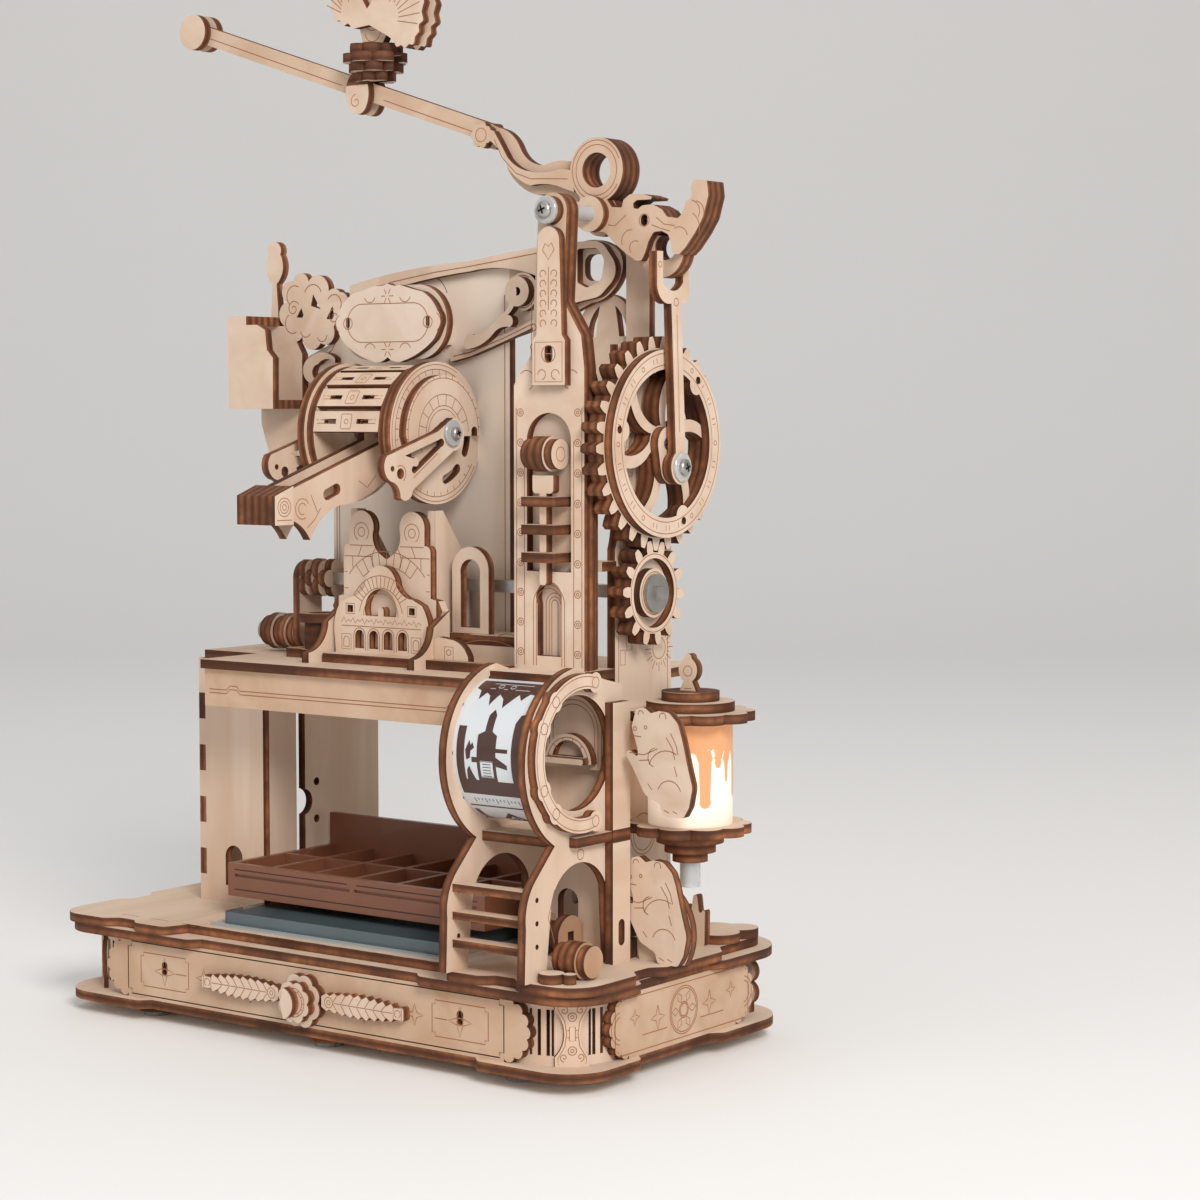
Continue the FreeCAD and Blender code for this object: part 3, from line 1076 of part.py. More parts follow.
def make_lever():
    """Rocking lever of three plies with its ring, scrolled head, perch and spread-winged bird."""
    y0 = -1.5 * PLY
    bore = PIVOT_R + FIT
    layers = []
    for i in range(3):
        level = y0 + i * PLY
        parts = [
            plate("xz", level, at_pivot(lever_neck(i == 1))),
            plate("xz", level, at_pivot(lever_head())),
            rod("xz", level, PLY, LEVER_RING_X, LEVER_RING_Z, LEVER_RING_R),
            rod("xz", level, PLY, PIVOT_X, PIVOT_Z, 6.6 if i == 1 else 5.5),
        ]
        if i:
            strap = path((13.5, -13.6), (15.8, -15.6), (22.5, -20, 31.3, -12.8), (29.5, -7.2), (19.5, -7.2))
            parts.append(plate("xz", level, at_pivot(strap)))
        holes = [
            rod("xz", level, PLY, LEVER_RING_X, LEVER_RING_Z, LEVER_HOLE_R),
            rod("xz", level, PLY, PIVOT_X, PIVOT_Z, bore),
        ]
        if i:
            holes.append(rod("xz", level, PLY, PIVOT_X + 24.7, PIVOT_Z - 10.8, 3.9))
        if i != 1:
            parts.append(plate("xz", level, scalloped(PIVOT_X - 45.1, PIVOT_Z + 27, 3.4, 0.8, 7)))
            eye = stadium(18.8, -2.9, 18.8, -2.1, 1.3)
            holes.append(plate("xz", level, at_pivot(eye)))
        layers.append(fuse(*parts).cut(holes))
    half = LEVER_BAR_H / 2
    left = LEVER_LEFT_X
    neck_x = PIVOT_X - 42.5
    bar = plate("xz", y0 + PLY, path(
        (left, bar_z(left) - half), (neck_x, bar_z(neck_x) - half), (neck_x, bar_z(neck_x) + half),
        (left, bar_z(left) + half)))
    add("lever_core", fuse(layers[1], bar))
    add("lever_sides", layers[0], layers[2])
    knob = [rod("xz", y0 + i * 2 * PLY, PLY, left + 4, bar_z(left + 4), 6.0) for i in range(2)]
    clamp_x = PERCH_X - 4
    top = bar_z(clamp_x)
    clamp = path(
        (clamp_x - 2.4, top + 5.4), (clamp_x - 5.2, top + 0.6, clamp_x - 3.8, top - 5.8),
        (clamp_x, top - 8.2, clamp_x + 3.6, top - 5.8),
        (clamp_x + 4.4, top + 0.6, clamp_x + 1.6, top + 5.4),
    )
    clamps = [plate("xz", y, clamp) for y in (y0, y0 + 2 * PLY)]
    perch_z = top + 2.4
    perch = []
    for i, (r, lobe) in enumerate(((6.8, 1.4), (9.2, 1.9), (10.8, 2.0), (9.0, 1.6))):
        lobes = scalloped(PERCH_X, 0, r - lobe, lobe, 7, i * 0.4)
        perch.append(plate("xy", perch_z + i * PLY, lobes))
    saddle = box2(clamp_x - 7, y0 + PLY, PERCH_X + 14, y0 + 2 * PLY)
    trough = plate("xy", perch_z - 8, saddle, (), 16)
    bird_z = perch_z + 4 * PLY
    x = PERCH_X
    slot_z = bird_z - 3.0 * PLY
    body = plate("xz", y0 + PLY, path(
        (x - 4, slot_z), (x + 4, slot_z), (x + 4, bird_z), (x + 6.8, bird_z + 6, x + 6.6, bird_z + 11),
        (x + 5.4, bird_z + 19, x + 1.3, bird_z + 22.6), (x - 1.6, bird_z + 23.2, x - 2.4, bird_z + 21),
        (x - 5.4, bird_z + 15.6), (x - 7, bird_z + 14.4), (x - 5.8, bird_z + 12.4),
        (x - 5.6, bird_z + 6, x - 4, bird_z)))
    add("perch", fuse(*perch).cut([trough, body]), *[side.cut(fuse(*perch)) for side in clamps], *knob)
    left_wing = [
        (3.4, 6.2), (-5.9, 5.4), (-8.2, 7.4), (-10.3, 6.3), (-11.6, 8.6), (-14, 8.4), (-14.4, 11),
        (-16, 12.4), (-15.2, 14.6), (-17.4, 17.5), (-16, 20.4), (-17.4, 24), (-14.6, 26.4), (-13.6, 29.6),
        (-10.4, 28.6), (-7.4, 22), (-3.4, 17),
    ]
    right_wing = [
        (-3.4, 8), (11.6, 1.6), (14.2, 0), (15.6, -2.2), (18, -1.4), (20, -2.9), (22, -1.4), (24.5, -2),
        (25.2, 0.8), (27.4, 2.2), (27, 4.4), (29.6, 5.6), (28.6, 8.6), (30, 11.6), (28.4, 14.4),
        (29, 18.4), (26.4, 20.4), (26, 24.4), (22.6, 25.6), (20, 29), (16.6, 27), (14, 22), (11, 14.6),
        (5.4, 16),
    ]
    wings = []
    for level in (y0, y0 + 2 * PLY):
        halves = []
        for outline, reach in ((left_wing, 1.0), (right_wing, 0.82)):
            points = [(x + px * reach, bird_z + pz, 0.9) for px, pz in outline]
            halves.append(plate("xz", level, rounded(points)))
        wings.append(fuse(*halves))
    add("bird", body, *wings)


def gear_distance():
    """Centre distance of the two meshing gears."""
    return MODULE * (BIG_TEETH + SMALL_TEETH) / 2


def gear_z():
    """Height of the large gear's axle, which stands a little behind the shaft."""
    return SHAFT_Z + math.sqrt(gear_distance() ** 2 - GEAR_Y ** 2)


def mesh_angle():
    """Direction from the shaft to the large gear's axle."""
    return math.atan2(gear_z() - SHAFT_Z, GEAR_Y)


def gear_outline(x, y, teeth, turn):
    """2-D gear with involute flanks; the angle turn points at the middle of a tooth."""
    pitch_r = MODULE * teeth / 2
    tip_r = pitch_r + 0.75 * MODULE
    root_r = pitch_r - 1.0 * MODULE
    base_r = pitch_r * math.cos(math.radians(20))
    half_tooth = (math.pi * MODULE / 2 - BACKLASH) / (2 * pitch_r)

    def involute(r):
        pressure = math.acos(min(1.0, base_r / r))
        return math.tan(pressure) - pressure

    def point(r, angle):
        return V(x + r * math.cos(angle), y + r * math.sin(angle), 0)

    foot_r = max(base_r, root_r)
    centre = half_tooth + involute(pitch_r)
    edges = []
    step = 2 * math.pi / teeth
    for i in range(teeth):
        a = turn + i * step
        radii = (foot_r, (foot_r + tip_r) / 2, tip_r)
        left = [point(r, a - centre + involute(r)) for r in radii]
        right = [point(r, a + centre - involute(r)) for r in radii[::-1]]
        root_a = point(root_r, a - centre)
        root_b = point(root_r, a + centre)
        next_root = point(root_r, a + step - centre)
        if (root_a - left[0]).Length > 1e-6:
            edges.append(Part.makeLine(root_a, left[0]))
        edges.append(Part.Arc(*left).toShape())
        edges.append(Part.Arc(left[2], point(tip_r, a), right[0]).toShape())
        edges.append(Part.Arc(*right).toShape())
        if (root_b - right[2]).Length > 1e-6:
            edges.append(Part.makeLine(right[2], root_b))
        edges.append(Part.Arc(root_b, point(root_r, a + step / 2), next_root).toShape())
    return Part.Wire(edges)


def make_big_gear():
    """Large gear with S-shaped spokes, its ring, hub, axle and crank boss."""
    y = GEAR_Y
    z = gear_z()
    rim_in = 24.0
    hub_r = 5.6
    rim_window = circle(y, z, rim_in)
    spokes = []
    for i in range(6):
        a = math.radians(60 * i)
        points = []
        for r, lead in ((hub_r - 1, 0.0), (hub_r + 8.5, 22.0), (rim_in + 1, 4.0)):
            b = a + math.radians(lead)
            points.append((y + r * math.cos(b), z + r * math.sin(b)))
        side = 1.9
        outward = [(math.cos(a + math.pi / 2) * side, math.sin(a + math.pi / 2) * side)] * 3
        fore = [(p[0] + o[0], p[1] + o[1]) for p, o in zip(points, outward)]
        aft = [(p[0] - o[0], p[1] - o[1]) for p, o in zip(points, outward)]
        spokes.append(path(fore[0], fore[1] + fore[2], aft[2], aft[1] + aft[0]))
    plies = []
    for i in range(2):
        level = GEAR_X + i * PLY
        rim = plate("yz", level, gear_outline(y, z, BIG_TEETH, mesh_angle() + math.pi), [rim_window])
        hub = rod("yz", level, PLY, y, z, hub_r)
        arms = [plate("yz", level, spoke) for spoke in spokes]
        wheel = fuse(rim, hub, *arms).cut(rod("yz", level, PLY, y, z, AXLE_R))
        plies.append(wheel)
    add("big_gear", *plies)
    front = GEAR_X + 2 * PLY
    eyes = []
    knobs = []
    for i in range(3):
        a = math.radians(50 + i * 120)
        eyes.append(rod("yz", front, PLY, y + 25.6 * math.cos(a), z + 25.6 * math.sin(a), 1.2))
        knobs.append(rod("yz", front, PLY, y + 24.0 * math.cos(a), z + 24.0 * math.sin(a), 3.4))
    face_ring = fuse(ring("yz", front, PLY, y, z, 29.0, 22.9), *knobs).cut(eyes)
    hub_disc = rod("yz", front, PLY, y, z, 5.0)
    pin_y = ROD_Y
    pin_z = z - ROD_DROP
    crank = plate("yz", front, stadium(y, z, pin_y, pin_z, 5.2))
    boss = rod("yz", front + PLY, 1.0 - GAP, pin_y, pin_z, 4.6)
    add("gear_crank", face_ring, fuse(hub_disc, crank, boss).cut(rod("yz", front, PLY, y, z, AXLE_R)))
    inner = OUTER_WALL_X - 2.5
    axle = rod("yz", inner, front + PLY - inner, y, z, AXLE_R)
    spacer = ring("yz", OUTER_WALL_X + PLY, GEAR_X - OUTER_WALL_X - PLY, y, z, 5.5, AXLE_R)
    stop = ring("yz", inner, 2.5, y, z, 4.5, AXLE_R)
    add("gear_axle", axle, spacer, stop)


def square_hole(y, z, side):
    """2-D square round a point."""
    return box2(y - side / 2, z - side / 2, y + side / 2, z + side / 2)


def make_main_shaft():
    """Square steel shaft with the small gear, and the hand crank at its left end over the stage."""
    left = CRANK_X - PLY - 1
    right = SMALL_GEAR_X + 2 * PLY + 2.4
    shaft = plate("yz", left, square_hole(0, SHAFT_Z, SHAFT_SIDE), (), right - left)
    hole = square_hole(0, SHAFT_Z, SHAFT_SIDE)
    turn = mesh_angle() + math.pi / SMALL_TEETH
    plies = []
    for i in range(2):
        window = circle(0, SHAFT_Z, 10.8) if i else hole
        plies.append(plate("yz", SMALL_GEAR_X + i * PLY, gear_outline(0, SHAFT_Z, SMALL_TEETH, turn),
            [window]))
    face = SMALL_GEAR_X + PLY
    hub = plate("yz", face, circle(0, SHAFT_Z, 7.6), [hole])
    washer = plate("yz", face + PLY, circle(0, SHAFT_Z, 6.0), [hole], 1.4)
    collar = plate("yz", OUTER_WALL_X + PLY, circle(0, SHAFT_Z, 5.4), [hole],
        SMALL_GEAR_X - OUTER_WALL_X - PLY)
    add("small_gear", *plies, hub, collar)
    grip_z = SHAFT_Z - CRANK_REACH
    arm = CRANK_X - PLY
    crank = plate("yz", arm, stadium(0, SHAFT_Z, 0, grip_z, 5.5), [hole, circle(0, grip_z, AXLE_R)])
    hubs = []
    for i in range(4):
        lobes = scalloped(0, SHAFT_Z, 4.0, 2.4, 4, math.radians(45)) if i % 2 else scalloped(0, SHAFT_Z,
            4.6, 2.6, 4)
        hubs.append(plate("yz", CRANK_X + i * PLY, lobes, [hole]))
    add("hand_crank", fuse(crank, *hubs))
    pin = rod("yz", arm - 17, 17 + PLY, 0, grip_z, AXLE_R)
    head = rod("yz", arm - 17 - SCREW_HEAD_H, SCREW_HEAD_H, 0, grip_z, 3.4)
    add("main_shaft", shaft, washer, fuse(pin, head))
    grip = []
    for i in range(5):
        wide = 6.2 if i % 2 else 5.2
        grip.append(ring("yz", arm - 1 - (i + 1) * PLY, PLY, 0, grip_z, wide, AXLE_R + FIT))
    add("crank_grip", fuse(*grip))


def make_connecting_rod():
    """Forked rod that stands on the crank and pushes the lever's head up."""
    level = GEAR_X + 3 * PLY + 1.0
    eye_z = gear_z() - ROD_DROP
    fork_top = PIVOT_Z - 12.2
    fork_low = fork_top - 13.2
    slot_half = 1.5 * PLY + 0.85
    fork = path(
        (-8.5, fork_top), (-8.5, fork_low + 3), (-6.5, fork_low - 1, -1.0, fork_low - 2.5),
        (4.2, fork_low - 2.5), (7.8, fork_low - 1, 8.5, fork_low + 3), (8.5, fork_top),
        (slot_half, fork_top), (slot_half, fork_low + 4.2),
        (0, fork_low + 1.4, -slot_half, fork_low + 4.2), (-slot_half, fork_top),
    )
    shank = path((ROD_Y - 2.6, eye_z), (-1.0, fork_low), (4.2, fork_low), (ROD_Y + 2.6, eye_z))
    eye = plate("yz", level, circle(ROD_Y, eye_z, 5.3))
    body = fuse(plate("yz", level, fork), plate("yz", level, shank), eye)
    add("connecting_rod", body.cut(rod("yz", level, PLY, ROD_Y, eye_z, SCREW_R)))
    pin = rod("yz", level, PLY + 1.0, ROD_Y, eye_z, SCREW_R)
    head = rod("yz", level + PLY + 1.0, SCREW_HEAD_H, ROD_Y, eye_z, SCREW_HEAD_R)
    washer = ring("yz", level + PLY, 1.0, ROD_Y, eye_z, 4.4, SCREW_R)
    add("rod_screw", fuse(pin, head), washer)


def lamp_plate(level, r):
    """Scalloped lamp plate with a straight tab that meets the column."""
    disc = plate("xy", level, scalloped(LAMP_X, LAMP_Y, r - LAMP_LOBE, LAMP_LOBE, LAMP_LOBES, LAMP_TURN))
    tab = plate("xy", level, box2(OUTER_WALL_X + PLY, LAMP_Y - 7, LAMP_X, LAMP_Y + 7))
    keep = Part.makeBox(100, 100, 10)
    keep.translate(V(OUTER_WALL_X + PLY, LAMP_Y - 50, level - 1))
    return fuse(disc, tab).common(keep)


def make_lamp():
    """Candle lamp on the right column: plates, glowing shade, stepped discs, tube and lid."""
    top = LAMP_Z + LAMP_H
    low = lamp_plate(LAMP_Z - PLY, LAMP_PLATE_R - 1)
    bore = rod("xy", top, PLY, LAMP_X, LAMP_Y, LAMP_R - LAMP_WALL)
    high = lamp_plate(top, LAMP_PLATE_R).cut(bore)
    add("lamp_shade", ring("xy", LAMP_Z, LAMP_H, LAMP_X, LAMP_Y, LAMP_R, LAMP_R - LAMP_WALL))
    steps = [rod("xy", LAMP_Z - (i + 2) * PLY, PLY, LAMP_X, LAMP_Y, r) for i,
        r in enumerate((10.5, 8.0, 5.5))]
    add("lamp_plates", low, high, fuse(*steps))
    tube_top = LAMP_Z - 4 * PLY
    add("lamp_tube", ring("xy", tube_top - 8, 8, LAMP_X, LAMP_Y, 3.2, 2.2))
    lid_z = top + PLY
    rim = rod("xy", lid_z, PLY, LAMP_X, LAMP_Y, LAMP_R + 0.6)
    plug = rod("xy", lid_z - PLY, PLY, LAMP_X, LAMP_Y, LAMP_R - LAMP_WALL - GAP)
    crown = rod("xy", lid_z + PLY, PLY, LAMP_X, LAMP_Y, 9.0)
    k = lid_z + 2 * PLY
    knob = path(
        (LAMP_X - 3, k), (LAMP_X + 3, k), (LAMP_X + 1.6, k + 3),
        (LAMP_X + 3.4, k + 7, LAMP_X + 1.4, k + 10), (LAMP_X, k + 11.5, LAMP_X - 1.4, k + 10),
        (LAMP_X - 3.4, k + 7, LAMP_X - 1.6, k + 3),
    )
    add("lamp_lid", fuse(rim, plug, crown), plate("xz", LAMP_Y - PLY / 2, knob))


def animal_outline(x, z):
    """2-D outline of a plain upright animal that leans with one paw out to the left."""
    points = [
        (8.5, 0, 1.5), (1, 0, 1.5), (0, 3.4, 1.5), (-5.7, 6.1, 4), (-9.6, 13, 4), (-12.8, 18, 1),
        (-11.6, 19.6, 1),
        (-8, 17, 1), (-8.4, 20, 1), (-9.4, 23, 1), (-10.6, 26.5, 2), (-9, 31.9, 1.5), (-6, 32.7, 1.5),
        (-3.5, 31, 1),
        (-0.5, 31.9, 1), (3.2, 31.6, 3), (6.4, 28.5, 3), (7.8, 24.5, 8), (10, 15.8, 8), (11.8, 9.5, 5),
        (10.6, 3.5, 4),
    ]
    return rounded([(x + px, z + pz, r) for px, pz, r in points])


def make_figures():
    """Animal that leans on a roller on the deck, and one that climbs in front of the lamp."""
    y = LAMP_Y - 16
    x = OUTER_WALL_X + 20.0
    front = animal_outline(x, FLOOR_Z)
    back = path(
        (x - 8, FLOOR_Z), (x + 9, FLOOR_Z), (x + 10, FLOOR_Z + 16, x + 3, FLOOR_Z + 24),
        (x - 6, FLOOR_Z + 16, x - 8, FLOOR_Z),
    )
    animal = fuse(plate("xz", y, front), plate("xz", y + PLY, back))
    roller_x = OUTER_WALL_X + PLY + GAP
    roller_r = 4.2
    seat_h = 2 * PLY
    seat = plate("xy", FLOOR_Z, box2(roller_x, y, roller_x + 2 * PLY, y + 2 * PLY, 0.6), (), seat_h)
    roller = [seat]
    roller_y = y + PLY + 1
    roller_z = FLOOR_Z + seat_h + roller_r
    for i in range(2):
        roller.append(rod("yz", roller_x + i * PLY, PLY, roller_y, roller_z, roller_r - 0.6 * i))
    left = x - 11.5
    bush = rounded([
        (left, FLOOR_Z), (left + 8, FLOOR_Z), (left + 8.2, FLOOR_Z + 13), (left + 6, FLOOR_Z + 9),
        (left + 4.6, FLOOR_Z + 21), (left + 2.6, FLOOR_Z + 9), (left, FLOOR_Z + 15)], 0.8)
    add("deck_figure", animal, fuse(*roller), plate("xz", LAMP_Y + 16, bush))
    climb_y = LAMP_Y - LAMP_PLATE_R - PLY - GAP
    add("climbing_figure", plate("xz", climb_y, animal_outline(LAMP_X + 5, LAMP_Z + 5)))


make_base()
make_front_key()
make_deck()
make_bay()
make_bed()
make_platen()
make_stand()
make_stand_rollers()
make_stage()
make_back()
make_drum()
make_feed_arm()
make_sign()
make_tower()
make_pivot()
make_lever()
make_big_gear()
make_main_shaft()
make_connecting_rod()
make_lamp()
make_figures()

os.makedirs("parts", exist_ok=True)
for name, shape in nodes.items():
    shape.exportStep("parts/" + name + ".step")
print(len(nodes), "sub-parts")
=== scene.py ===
"""Dresses the plywood press: burnt ply edges, engraved lines, prints, clear and moulded plastic."""
import math

import bmesh
import bpy
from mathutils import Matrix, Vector


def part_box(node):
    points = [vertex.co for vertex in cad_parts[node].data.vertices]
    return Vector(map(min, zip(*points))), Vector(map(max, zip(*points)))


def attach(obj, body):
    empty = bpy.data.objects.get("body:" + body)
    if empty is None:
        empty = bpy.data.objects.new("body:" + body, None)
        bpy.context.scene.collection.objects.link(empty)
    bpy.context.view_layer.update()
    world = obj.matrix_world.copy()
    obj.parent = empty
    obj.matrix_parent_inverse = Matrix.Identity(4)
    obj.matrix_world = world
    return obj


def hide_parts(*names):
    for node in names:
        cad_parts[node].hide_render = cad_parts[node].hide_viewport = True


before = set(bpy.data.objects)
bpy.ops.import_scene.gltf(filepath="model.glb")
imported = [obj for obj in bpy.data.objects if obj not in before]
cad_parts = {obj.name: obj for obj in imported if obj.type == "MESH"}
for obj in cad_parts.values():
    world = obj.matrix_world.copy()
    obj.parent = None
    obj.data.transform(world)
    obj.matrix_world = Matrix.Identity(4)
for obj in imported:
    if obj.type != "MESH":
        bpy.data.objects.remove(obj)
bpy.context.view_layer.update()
MM = 0.001
PLY = 3.0


# Base plates, walls and corners
# Laser-cut birch ply, 3 mm thick: pale faces with a long soft grain, and edges burnt dark brown.
# The plates are glued and slotted together; the same stock makes every wooden piece above them.
FACE_PALE = (0.70, 0.55, 0.435, 1)
FACE_WARM = (0.54, 0.36, 0.24, 1)
EDGE_DARK = (0.058, 0.020, 0.010, 1)
EDGE_RUST = (0.42, 0.16, 0.066, 1)
ENGRAVED = (0.26, 0.105, 0.05, 1)


def add_node(nodes, kind, values=None, **settings):
    """New shader node: its settings first, then each input, as a value or as a link."""
    node = nodes.new("ShaderNode" + kind)
    for setting, value in settings.items():
        setattr(node, setting, value)
    for socket, value in (values or {}).items():
        if isinstance(value, bpy.types.NodeSocket):
            nodes.id_data.links.new(value, node.inputs[socket])
        else:
            node.inputs[socket].default_value = value
    return node


def new_material(name):
    """New material with its nodes, its link function and its main shader."""
    material = bpy.data.materials.new(name)
    material.use_nodes = True
    nodes = material.node_tree.nodes
    return material, nodes, material.node_tree.links.new, nodes["Principled BSDF"]


def ridden(name, mesh, material, body):
    """Object made of a finished mesh, which rides on a body."""
    piece = bpy.data.objects.new(name, mesh)
    bpy.context.scene.collection.objects.link(piece)
    mesh.materials.append(material)
    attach(piece, body)
    return piece


def group_socket(group, name, kind, way, value=None):
    """Adds one named socket to a node group."""
    socket = group.interface.new_socket(name, in_out=way, socket_type=kind)
    if value is not None:
        socket.default_value = value
    return socket


def grain_group():
    """Birch face: long soft grain with fine pores. Gives colour, roughness and height."""
    group = bpy.data.node_groups.new("birch_face", "ShaderNodeTree")
    group_socket(group, "Pale", "NodeSocketColor", "INPUT", FACE_PALE)
    group_socket(group, "Warm", "NodeSocketColor", "INPUT", FACE_WARM)
    group_socket(group, "Stretch", "NodeSocketVector", "INPUT", (1, 1, 1))
    group_socket(group, "Color", "NodeSocketColor", "OUTPUT")
    group_socket(group, "Roughness", "NodeSocketFloat", "OUTPUT")
    group_socket(group, "Height", "NodeSocketFloat", "OUTPUT")
    nodes = group.nodes
    link = group.links.new
    inside = nodes.new("NodeGroupInput")
    outside = nodes.new("NodeGroupOutput")
    place = add_node(nodes, "TexCoord")
    scale = add_node(nodes, "VectorMath", {0: place.outputs["Object"], 1: inside.outputs["Stretch"]},
        operation="MULTIPLY")
    figure = add_node(nodes, "TexNoise",
        {"Scale": 60, "Detail": 5, "Distortion": 0.8, "Vector": scale.outputs[0]})
    pores = add_node(nodes, "TexNoise", {"Scale": 420, "Detail": 3, "Vector": scale.outputs[0]})
    cloud = add_node(nodes, "TexNoise", {"Scale": 22, "Detail": 2, "Vector": place.outputs["Object"]})
    spread = add_node(nodes, "MapRange",
        {"From Min": 0.40, "From Max": 0.68, "To Max": 0.50, "Value": figure.outputs["Fac"]})
    drift = add_node(nodes, "MapRange",
        {"From Min": 0.35, "From Max": 0.75, "To Max": 0.35, "Value": cloud.outputs["Fac"]})
    total = add_node(nodes, "Math", {0: spread.outputs["Result"], 1: drift.outputs["Result"]},
        operation="ADD")
    mix = add_node(nodes, "Mix",
        {"Factor": total.outputs[0], "A": inside.outputs["Pale"], "B": inside.outputs["Warm"]},
        data_type="RGBA")
    link(mix.outputs["Result"], outside.inputs["Color"])
    rough = add_node(nodes, "MapRange", {"To Min": 0.62, "To Max": 0.80, "Value": pores.outputs["Fac"]})
    link(rough.outputs["Result"], outside.inputs["Roughness"])
    link(pores.outputs["Fac"], outside.inputs["Height"])
    return group


def burnt_group():
    """Burnt edge: a mask that is 1 where a surface doesn't face along the plate, and its colour."""
    group = bpy.data.node_groups.new("burnt_edge", "ShaderNodeTree")
    group_socket(group, "Facing", "NodeSocketVector", "INPUT", (0, 1, 0))
    group_socket(group, "Dark", "NodeSocketColor", "INPUT", EDGE_DARK)
    group_socket(group, "Rust", "NodeSocketColor", "INPUT", EDGE_RUST)
    group_socket(group, "Mask", "NodeSocketFloat", "OUTPUT")
    group_socket(group, "Color", "NodeSocketColor", "OUTPUT")
    nodes = group.nodes
    link = group.links.new
    inside = nodes.new("NodeGroupInput")
    outside = nodes.new("NodeGroupOutput")
    place = add_node(nodes, "TexCoord")
    dot = add_node(nodes, "VectorMath", {0: place.outputs["Normal"], 1: inside.outputs["Facing"]},
        operation="DOT_PRODUCT")
    size = add_node(nodes, "Math", {0: dot.outputs["Value"]}, operation="ABSOLUTE")
    mask = add_node(nodes, "MapRange", {"From Min": 0.80, "From Max": 0.60, "Value": size.outputs[0]})
    link(mask.outputs["Result"], outside.inputs["Mask"])
    across = add_node(nodes, "VectorMath", {0: place.outputs["Object"], 1: inside.outputs["Facing"]},
        operation="DOT_PRODUCT")
    layers = add_node(nodes, "TexWave", {"Scale": 105, "Distortion": 0.6, "Detail": 2},
        wave_type="BANDS", bands_direction="X")
    vector = add_node(nodes, "CombineXYZ", {"X": across.outputs["Value"]})
    link(vector.outputs[0], layers.inputs["Vector"])
    soot = add_node(nodes, "TexNoise", {"Scale": 320, "Detail": 4, "Vector": place.outputs["Object"]})
    heat = add_node(nodes, "TexNoise", {"Scale": 38, "Detail": 2, "Vector": place.outputs["Object"]})
    burn = add_node(nodes, "MapRange",
        {"From Min": 0.36, "From Max": 0.66, "To Min": 0.15, "To Max": 1.5, "Value": heat.outputs["Fac"]})
    lit = add_node(nodes, "Math", {1: 0.75, 2: 0.18, 0: layers.outputs["Fac"]}, operation="MULTIPLY_ADD")
    worn = add_node(nodes, "Math", {0: lit.outputs[0], 1: soot.outputs["Fac"]}, operation="MULTIPLY")
    both = add_node(nodes, "Math", {0: worn.outputs[0], 1: burn.outputs["Result"]}, operation="MULTIPLY",
        use_clamp=True)
    mix = add_node(nodes, "Mix",
        {"Factor": both.outputs[0], "A": inside.outputs["Dark"], "B": inside.outputs["Rust"]},
        data_type="RGBA")
    link(mix.outputs["Result"], outside.inputs["Color"])
    return group


BIRCH = grain_group()
BURNT = burnt_group()
AXES = {"x": (1, 0, 0), "y": (0, 1, 0), "z": (0, 0, 1)}
GRAIN = {"x": (1, 0.12, 1), "y": (0.12, 1, 1), "z": (0.12, 1, 1), "up": (1, 1, 0.12)}


def facing_switch(material, facing, regions):
    """Vector of the plate's facing, which changes inside ranges of a coordinate on mixed pieces."""
    nodes = material.node_tree.nodes
    link = material.node_tree.links.new
    base = add_node(nodes, "CombineXYZ")
    for i in range(3):
        base.inputs[i].default_value = AXES[facing][i]
    result = base.outputs[0]
    if not regions:
        return result
    place = add_node(nodes, "TexCoord")
    split = add_node(nodes, "SeparateXYZ", {0: place.outputs["Object"]})
    for other, ranges in regions:
        factor = None
        for letter, low, high in ranges:
            for limit, way in ((low, "GREATER_THAN"), (high, "LESS_THAN")):
                test = add_node(nodes, "Math", {1: limit * MM, 0: split.outputs["xyz".index(letter)]},
                    operation=way)
                if factor is None:
                    factor = test.outputs[0]
                else:
                    both = add_node(nodes, "Math", {0: factor, 1: test.outputs[0]}, operation="MULTIPLY")
                    factor = both.outputs[0]
        mix = add_node(nodes, "Mix", {"Factor": factor, 4: result, 5: AXES[other]}, data_type="VECTOR")
        result = mix.outputs[1]
    return result


def ply_material(name, facing, grain="x", regions=(), pale=FACE_PALE, warm=FACE_WARM):
    """Birch ply for a piece whose faces look along one axis, or along others inside regions."""
    material, nodes, link, shader = new_material(name)
    shader.inputs["Specular IOR Level"].default_value = 0.25
    face = add_node(nodes, "Group")
    face.node_tree = BIRCH
    face.inputs["Pale"].default_value = pale
    face.inputs["Warm"].default_value = warm
    face.inputs["Stretch"].default_value = GRAIN[grain]
    edge = add_node(nodes, "Group")
    edge.node_tree = BURNT
    link(facing_switch(material, facing, regions), edge.inputs["Facing"])
    mix = add_node(nodes, "Mix",
        {"Factor": edge.outputs["Mask"], "A": face.outputs["Color"], "B": edge.outputs["Color"]},
        data_type="RGBA")
    link(mix.outputs["Result"], shader.inputs["Base Color"])
    link(face.outputs["Roughness"], shader.inputs["Roughness"])
    bump = add_node(nodes, "Bump",
        {"Strength": 0.25, "Distance": 0.00012, "Height": face.outputs["Height"]})
    link(bump.outputs["Normal"], shader.inputs["Normal"])
    return material


def wear(names, material):
    """Gives CAD pieces their finish."""
    for name in names:
        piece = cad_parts[name]
        piece.data.materials.clear()
        piece.data.materials.append(material)


